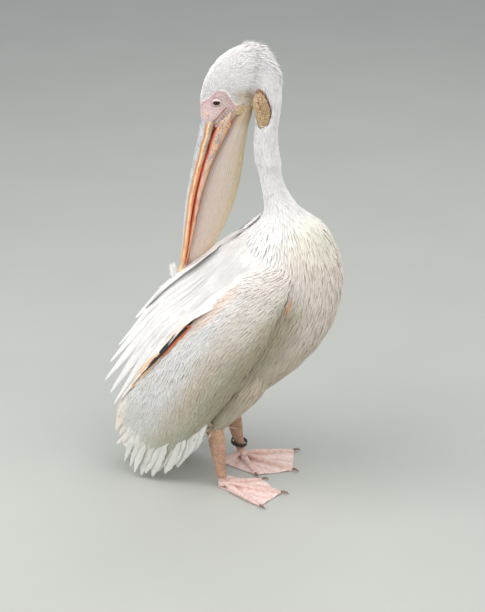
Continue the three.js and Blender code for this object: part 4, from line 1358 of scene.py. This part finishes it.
lower = fused("bill_lower_blade", ["bill_lower"], HORN_CELL, 6)
head, turned = drawn(spots_of(lower.data), HEAD), normals_of(lower.data)
x, y, z = head.T
top, edge = np.interp(z, EDGE_Z, TOMIUM), np.interp(z, EDGE_Z, RAMUS)
share = (x - top) / (edge - top) + 0.03 * wavy(z / 19, z / 9 + 1, z / 6)
profile = -0.6 * hump(share, 0.3, 0.07) + 0.5 * hump(share, 0.55, 0.12)
profile += 0.7 * hump(share, 0.93, 0.05) - 0.6 * hump(share, 0.8, 0.05)
move_to(lower.data, spots_of(lower.data) + turned * (profile * ease(z, 520, 560) / 1000)[:, None])
tints = banded(share, (
    (0.0, WINE), (0.08, WINE), (0.13, ROSE), (0.3, ROSE), (0.38, (0.70, 0.46, 0.33)), (0.6, ROSE),
    (0.74, ROSE), (0.8, TAN), (0.9, CORAL), (0.97, TAN), (1.0, (0.34, 0.19, 0.09)),
    (1.06, (0.30, 0.20, 0.14)),
))
inner = ease(share, 0.1, 0.16) * (1 - ease(share, 0.84, 0.92))
greys = ease(wavy(z / 1.9 + x / 1.3, z / 2.9 - x / 1.7, z / 6.1), 0.05, 0.42)
golds = ease(wavy(z / 3.3 - x / 1.9 + 2, z / 2.3 + x / 2.1, z / 8.3 + 1), 0.12, 0.45)
tints = washed(tints, 0.8 * greys * inner * ease(z, 740, 850), SLATE)
tints = washed(tints, 0.6 * golds * inner * ease(z, 600, 760), (0.72, 0.46, 0.20))
tints = washed(tints, 0.6 * greys * (1 - golds) * inner * (1 - ease(z, 700, 800)), (0.70, 0.22, 0.12))
tints = washed(tints, 0.8 * (1 - ease(share, 0.12, 0.2)) * (1 - ease(z, 880, 910)), (0.66, 0.09, 0.03))
tints = washed(tints, 0.6 * (1 - ease(z, 560, 700)) * (share < 0.9), (0.80, 0.42, 0.20))
speckle = ease(z, 700, 830) * ease(share, 0.1, 0.16) * (1 - ease(share, 0.8, 0.9)) * 0.95
dressed(lower.data, Tint=tints, Speckle=speckle)

nail = fused("bill_hook", ["bill_nail"], NAIL_CELL, 5)
head = drawn(spots_of(nail.data), HEAD)
tints = banded(head[:, 2], ((490, (0.66, 0.16, 0.05)), (505, (0.80, 0.34, 0.10)), (525, (0.86, 0.58, 0.26))))
dressed(nail.data, Tint=tints, Speckle=np.zeros(len(head)))
for piece, node, slot in (
    (upper, "bill_upper", "horn"),
    (lower, "bill_lower", "horn"),
    (nail, "bill_nail", "nail"),
):
    piece.data.materials.append(bill_paint.material)
    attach(piece, "root")
    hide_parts(node)

# ---------- pouch and throat ----------
# A sheet of elastic bare skin hangs between the branches of the lower bill, finely pleated along its
# length. At the throat it gathers into a wrinkled yellow-brown fold with a darker rim.
# Drawn in the head's own frame: the free edge of the sheet, and the dark rim of the throat fold.
FREE_Z = (541, 560, 592, 617, 651, 681, 709, 741, 778, 815, 856, 882, 906)
FREE_EDGE = (-121, -100, -82, -68, -49, -40, -31, -22, -17, -13, -8, -2, 5)
LOBE = (
    (-4, 952), (5, 966), (14, 972), (27, 962), (36, 942), (41, 923),
    (39, 899), (34, 880), (25, 871), (16, 876), (10, 896),
)
POUCH_CELL = 0.0015
sac = fused("throat_sac", ["pouch", "throat_fold"], POUCH_CELL, 6)
head, turned = drawn(spots_of(sac.data), HEAD), normals_of(sac.data)
x, y, z = head.T
edge, free = np.interp(z, EDGE_Z, RAMUS), np.interp(z, FREE_Z, FREE_EDGE)
across = (x - edge) / (free - edge)
lobe = ease(x, 2, 10) * ease(z, 862, 876)
pleats = np.sin(2 * math.pi * (across * 17 + 0.5 * wavy(z / 41, z / 23 + across * 4)))
pleats += 0.6 * np.sin(2 * math.pi * (across * 29 + 0.7 * wavy(z / 31 + 2, z / 17 - across * 6)))
ruck = wavy(x / 1.7 + z / 4.1, z / 1.9 - x / 3.7, (x + z) / 2.3 + 2 * np.sin(z / 9))
swell = 0.34 * pleats * ease(across, 0.02, 0.2) * (1 - 0.6 * ease(across, 0.85, 1)) * (1 - lobe)
swell = swell + 0.55 * ruck * lobe
move_to(sac.data, spots_of(sac.data) + turned * (swell / 1000)[:, None])
tints = banded(across, (
    (0.0, (0.60, 0.48, 0.42)), (0.05, (0.72, 0.60, 0.54)), (0.4, (0.745, 0.635, 0.555)),
    (0.75, (0.75, 0.63, 0.50)), (0.92, (0.76, 0.62, 0.40)), (1.0, (0.80, 0.66, 0.38)),
))
tints = washed(tints, 0.4 * (1 - ease(z, 600, 720)), (0.82, 0.64, 0.54))
tints = washed(tints, 0.65 * ease(z, 872, 900), (0.56, 0.42, 0.245))
# Painted shade: the whole sheet is darkened, and it is darker in the hollows of the pleats and lighter on
# their crests.
tints *= 0.84 * (1 + 0.06 * pleats[:, None] * (1 - lobe[:, None]))
brown = banded(z, (
    (866, (0.82, 0.70, 0.44)), (890, (0.66, 0.52, 0.30)), (930, (0.57, 0.43, 0.27)),
    (975, (0.53, 0.40, 0.27)),
))
# Painted shade in the wrinkles of the fold: darker in their hollows, lighter on their ridges.
brown *= 1 + 0.12 * ruck[:, None]
line = np.array([(a, 0, b) for a, b in LOBE], float)
_, _, rim_gap = on_line(line, head * (1, 0, 1))
brown = washed(brown, 0.95 * (1 - ease(rim_gap, 1.2, 3.6)) * ease(z, 885, 915), (0.30, 0.11, 0.035))
tints = tints + (brown - tints) * lobe[:, None]
dressed(sac.data, Tint=tints, Lobe=lobe)
corner = np.zeros(len(sac.data.loops), int)
sac.data.loops.foreach_get("vertex_index", corner)
grain = np.stack([across, z / 1000], 1)[corner]
sac.data.uv_layers.new(name="Pleat").data.foreach_set("uv", grain.astype(np.float32).ravel())

pouch_paint = Finish("pouch_skin", 0.5, Specular_IOR_Level=0.4)
pleat_way = pouch_paint.node("UVMap", {"uv_map": "Pleat"}).outputs["UV"]
pleat_way = pouch_paint.node("Mapping", Vector=pleat_way, Scale=(1, 0.9, 1)).outputs["Vector"]
fibres = pouch_paint.noise(70.0, 4, pleat_way)
net = pouch_paint.cells(1.0, pouch_paint.stretched((300, 300, 190), (0, 0.5, 0)), feature="DISTANCE_TO_EDGE")
veins = pouch_paint.ramp(fibres, [(0.3, (0.86, 0.80, 0.76)), (0.5, WHITE), (0.72, (1.06, 1.05, 1.02))])
mesh_lines = pouch_paint.ramp(net, [(0.03, (0.42, 0.30, 0.22)), (0.2, (1.16, 1.14, 1.10))])
lobed = pouch_paint.attribute("Lobe", "Fac")
veins = pouch_paint.mixed(lobed, veins, mesh_lines)
pouch_paint.paint(pouch_paint.mixed(1.0, pouch_paint.attribute("Tint"), veins, "MULTIPLY"))
pouch_paint.raised(fibres, 0.0012, 0.6)
knots = pouch_paint.node("Math", {"operation": "MULTIPLY"})
pouch_paint.feed(knots.inputs[0], net)
pouch_paint.feed(knots.inputs[1], lobed)
pouch_paint.raised(knots.outputs["Value"], 0.0012, 0.7)
sac.data.materials.append(pouch_paint.material)
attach(sac, "root")
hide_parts("pouch", "throat_fold")

# ---------- legs and feet ----------
# Short flattened shanks covered in small scales, and four toes joined by one web that hangs in soft
# folds. Ruddy scaly skin lies over the bones; the web is paler and thinner.
# Each toe's length and its turn from the middle toe; then for each leg its side, the drawn ankle, shin
# and joint of the toes, how far it toes in, and how widely its toes spread.
TOES = {"hind": (58, -104), "inner": (104, -34), "middle": (148, 0), "outer": (138, 37)}
STANCE = {
    "right": (-1, ((-60, -74, 152), (-53, -73, 86), (-46, -70, 26)), 5, 0.94),
    "left": (1, ((-76, 88, 152), (-67, 88, 80), (-53, 88, 26)), 11, 1.16),
}


def toe_point(stance, reach, turn, height):
    side, (_, _, joint), toe_in, spread = stance
    angle = math.radians(turn * spread - toe_in) * side
    return (joint[0] + reach * math.cos(angle), joint[1] + reach * math.sin(angle), height)


leg_paint = Finish("scaly_leg_skin", 0.52, Specular_IOR_Level=0.4)
leg_tint = leg_paint.attribute("Tint")
scale_edges = leg_paint.cells(360.0, feature="DISTANCE_TO_EDGE")
scale_lines = leg_paint.ramp(scale_edges, [(0.02, (0.62, 0.50, 0.44)), (0.12, WHITE)])
leg_mottle = leg_paint.noise(130.0, 4)
leg_mottle = leg_paint.ramp(leg_mottle, [(0.32, (0.86, 0.80, 0.78)), (0.60, (1.05, 1.03, 1.02))])
scaly = leg_paint.attribute("Scaly", "Fac")
leg_shade = leg_paint.mixed(1.0, leg_tint, leg_mottle, "MULTIPLY")
leg_lined = leg_paint.mixed(1.0, leg_shade, scale_lines, "MULTIPLY")
leg_paint.paint(leg_paint.mixed(scaly, leg_shade, leg_lined))
domed = leg_paint.ramp(scale_edges, [(0.0, BLACK), (0.16, WHITE)])
leg_relief = leg_paint.mixed(scaly, leg_paint.noise(900.0, 3), domed)
leg_paint.raised(leg_relief, 0.0004, 0.8)
leg_paint.gloss(leg_paint.noise(240.0, 3), 0.42, 0.62)

FOOT_CELL = 0.0014
SOLE_HEIGHT = 0.4
for side, stance in STANCE.items():
    sign, (ankle, shin, joint), toe_in, spread = stance
    knuckle = [
        (joint[0] + dx + wide * math.cos(a), joint[1] + wide * 0.8 * math.sin(a), height)
        for dx, wide, height in ((-6, 6.5, 52), (-2, 9, 24), (3, 12.5, 7))
        for a in np.linspace(0, math.tau, 12, endpoint=False)
    ]
    foot = fused(f"foot_skin_{side}", [f"foot_{side}", f"shank_{side}"], FOOT_CELL, 5, [placed(knuckle)])
    spots = drawn(spots_of(foot.data))
    # The shank is a blade, deeper from front to back than it is wide.
    bone = np.array([ankle, shin, joint], float)[::-1]
    middle = np.interp(spots[:, 2], bone[:, 2], bone[:, 0])
    deeper = 0.34 * ease(spots[:, 2], 48, 90) * (1 - 0.4 * ease(spots[:, 2], 130, 165))
    spots[:, 0] += (spots[:, 0] - middle) * deeper
    reach = np.hypot(spots[:, 0] - joint[0], spots[:, 1] - joint[1])
    turn = np.degrees(np.arctan2((spots[:, 1] - joint[1]) * sign, spots[:, 0] - joint[0]))
    turn = (turn + toe_in) / spread
    turns = [angle for _, angle in TOES.values()]
    sector = np.clip(np.searchsorted(turns, turn) - 1, 0, 2)
    lows, highs = np.array(turns)[sector], np.array(turns)[sector + 1]
    between = np.clip((turn - lows) / (highs - lows), 0, 1)
    in_web = (turn > turns[0]) & (turn < turns[-1])

    # How near the bone of a toe each point is, and how far along it.
    gap = np.full(len(spots), 99.0)
    along = np.zeros(len(spots))
    for length, angle in TOES.values():
        line = np.array([toe_point(stance, 0, angle, 8), toe_point(stance, length, angle, 4)])
        share, _, off = on_line(line, spots * (1, 1, 0) + (0, 0, 5))
        nearer = off < gap
        gap[nearer] = off[nearer]
        along[nearer] = share[nearer] * length
    on_top = ease(normals_of(foot.data)[:, 2], -0.2, 0.4)
    webbed = in_web * ease(gap, 5, 11) * ease(reach, 14, 34) * (spots[:, 2] < 9)
    pleats = np.sin(between * 2 * np.pi * (1 + 0.5 * sector) + 1.1 * np.sin(reach / 31 + sector))
    ripples = np.sin(reach / 6.5 + 2.2 * np.sin(between * 5 + sector)) * np.sin(between * np.pi)
    lift = 1.1 * pleats * ease(reach, 25, 80) + 0.15 * ripples + 0.6
    spots[:, 2] += webbed * lift
    gathered = on_top * in_web * 2.2 * hump(gap, 7, 3.5) * ease(reach, 10, 30) * (spots[:, 2] < 9)
    spots[:, 2] += gathered

    # Joints swell under the toes' skin, and broad plates cross the tops of the toes.
    boned = (1 - ease(gap, 5.5, 8)) * (spots[:, 2] < 16) * ease(reach, 14, 24)
    swell = 0.7 * np.cos(along / 34 * 2 * np.pi) ** 8
    plates = 0.2 * np.abs(np.sin(along / 3.6 * np.pi)) ** 0.6
    spots += normals_of(foot.data) * (boned * (swell + plates * on_top))[:, None]
    shank_line = np.array([ankle, shin, joint], float)
    share, _, off = on_line(shank_line, spots)
    upright = ease(spots[:, 2], 20, 32)
    rings_up = 0.22 * np.abs(np.sin(spots[:, 2] / 5.4 * np.pi)) ** 0.5
    spots += normals_of(foot.data) * (upright * rings_up * (spots[:, 0] > shank_line[0, 0] - 2))[:, None]
    spots[:, 2] = np.maximum(spots[:, 2], SOLE_HEIGHT)
    move_to(foot.data, placed(spots))

    tint = np.tile((0.80, 0.64, 0.61), (len(spots), 1))
    # Painted shade: the web is darker in the hollows of its folds and in the crease beside the toes.
    tint = washed(tint, 0.45 * ease(-pleats, 0.5, 1.0) * webbed, (0.62, 0.39, 0.34))
    tint = washed(tint, 0.6 * hump(gap, 8.5, 1.3) * in_web * (sector > 0), (0.45, 0.23, 0.18))
    tint = washed(tint, 1 - ease(gap, 6, 8.5), (0.76, 0.57, 0.52))
    plate_gaps = np.abs(np.sin(along / 3.6 * np.pi)) < 0.3
    tint = washed(tint, 0.35 * boned * on_top * plate_gaps, (0.50, 0.30, 0.24))
    tint = washed(tint, ease(spots[:, 2], 14, 34), (0.58, 0.375, 0.27))
    ring_gaps = np.abs(np.sin(spots[:, 2] / 5.4 * np.pi)) < 0.25
    tint = washed(tint, 0.5 * upright * ring_gaps, (0.40, 0.22, 0.14))
    tint = washed(tint, 0.5 * ease(spots[:, 2], 110, 150), (0.66, 0.47, 0.30))
    scaliness = np.maximum(0.8 * ease(spots[:, 2], 12, 24), 0.15 * (1 - ease(gap, 6, 9)))
    dressed(foot.data, Tint=tint, Scaly=scaliness)
    foot.data.materials.append(leg_paint.material)
    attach(foot, "root")
    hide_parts(f"foot_{side}", f"shank_{side}")

# Short blunt curved claws, dark horn, each set in the end of its toe.
claw_paint = Finish("claw_horn", 0.36, Specular_IOR_Level=0.5)
grain = claw_paint.ramp(claw_paint.noise(420.0, 4), [(0.3, (0.10, 0.055, 0.035)), (0.7, (0.30, 0.19, 0.13))])
claw_paint.paint(grain)
claw_paint.raised(claw_paint.noise(1400.0, 3), 0.00015, 0.5)
CLAW_ROWS, CLAW_SIDES = 18, 18
CLAW_SET_IN, CLAW_REACH = 5, 12.5
for side, stance in STANCE.items():
    for toe, (length, turn) in TOES.items():
        shares = np.linspace(0, 1, CLAW_ROWS)
        reaches = (length - CLAW_SET_IN, length + CLAW_REACH)
        ends = np.array([toe_point(stance, reach, turn, 0) for reach in reaches])
        line = ends[0] + shares[:, None] * (ends[1] - ends[0])
        line[:, 2] = np.interp(shares, (0, 0.45, 0.8, 1), (5.8, 6.6, 4.6, 1.9))
        forward = unit(np.gradient(line, axis=0))
        across = unit(np.cross((0, 0, 1.0), forward))
        upward = np.cross(forward, across)
        thick = np.interp(shares, (0, 0.2, 0.55, 0.85, 1), (2.9, 3.3, 2.6, 1.4, 0.5))

        # A disc drawn out row by row, each row then turned, rounded and set on the claw's line.
        horn = bmesh.new()
        upright = Matrix.Rotation(-math.pi / 2, 4, "Z")
        bmesh.ops.create_circle(horn, cap_ends=True, segments=CLAW_SIDES, radius=1, matrix=upright)
        cap = next(iter(horn.faces))
        for _ in range(CLAW_ROWS - 1):
            drawn_out = bmesh.ops.extrude_face_region(horn, geom=[cap, *cap.edges, *cap.verts])["geom"]
            cap = next(item for item in drawn_out if isinstance(item, bmesh.types.BMFace))
            bmesh.ops.translate(horn, verts=cap.verts[:], vec=(0, 0, 1))
        bmesh.ops.recalc_face_normals(horn, faces=horn.faces)
        mesh = bpy.data.meshes.new(f"claw_{toe}_{side}_horn")
        horn.to_mesh(mesh)
        horn.free()
        sideways, up, row = spots_of(mesh).T
        row = np.rint(row).astype(int)
        up = up * np.where(up < -1e-6, 0.62, 1.0)
        spots = across[row] * (sideways * 0.88)[:, None] + upward[row] * up[:, None]
        spots = line[row] + spots * thick[row][:, None]
        spots[:, 2] = np.maximum(spots[:, 2], SOLE_HEIGHT)
        move_to(mesh, placed(spots))
        mesh.shade_smooth()
        claw = mounted(mesh.name, mesh, claw_paint)
        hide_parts(f"claw_{toe}_{side}")

# ---------- ring ----------
# A bird-ringer's loose plastic band on the left shank: a flat strip rolled round and welded shut, its
# edges eased, dull black and finely scuffed. Its inside, outside and half height are in metres.
band = bmesh.new()
RING_INSIDE, RING_OUTSIDE, RING_HALF = 0.0181, 0.02, 0.0045
RING_TILT = 0.2
RING_EASE = 0.0005
section = (
    (RING_INSIDE, -RING_HALF), (RING_OUTSIDE, -RING_HALF),
    (RING_OUTSIDE, RING_HALF), (RING_INSIDE, RING_HALF),
)
outline = [band.verts.new((x, 0, z)) for x, z in section]
edges = [band.edges.new(pair) for pair in zip(outline, outline[1:] + outline[:1])]
bmesh.ops.spin(
    band, geom=[*outline, *edges], cent=(0, 0, 0), axis=(0, 0, 1), dvec=(0, 0, 0),
    angle=math.tau, steps=96, use_merge=True, use_normal_flip=False, use_duplicate=False,
)
bmesh.ops.remove_doubles(band, verts=band.verts, dist=1e-6)
bmesh.ops.recalc_face_normals(band, faces=band.faces)
sharp = [edge for edge in band.edges if len(edge.link_faces) == 2 and edge.calc_face_angle(0) > 1.2]
bmesh.ops.bevel(
    band, geom=sharp, offset=RING_EASE, offset_type="OFFSET", affect="EDGES", segments=3,
    profile=0.5, material=-1,
)
tilt = Matrix.Translation(RING_DRAWN) @ Matrix.Rotation(RING_TILT, 4, "Y")
band.transform(DRAWING @ tilt @ Matrix.Scale(1000, 4))
ring_mesh = bpy.data.meshes.new("ring_band")
band.to_mesh(ring_mesh)
band.free()
ring_mesh.shade_smooth()
ring_paint = Finish("ring_plastic", 0.34, Specular_IOR_Level=0.5)
wear = ring_paint.noise(260.0, 5)
ring_paint.paint(ring_paint.ramp(wear, [(0.35, (0.012, 0.012, 0.014)), (0.75, (0.05, 0.05, 0.055))]))
ring_paint.gloss(ring_paint.noise(500.0, 4), 0.24, 0.5)
ring_paint.raised(ring_paint.noise(900.0, 3), 0.00008, 0.4)
ring = mounted("ring_band", ring_mesh, ring_paint)
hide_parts("leg_ring")

lows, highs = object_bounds()
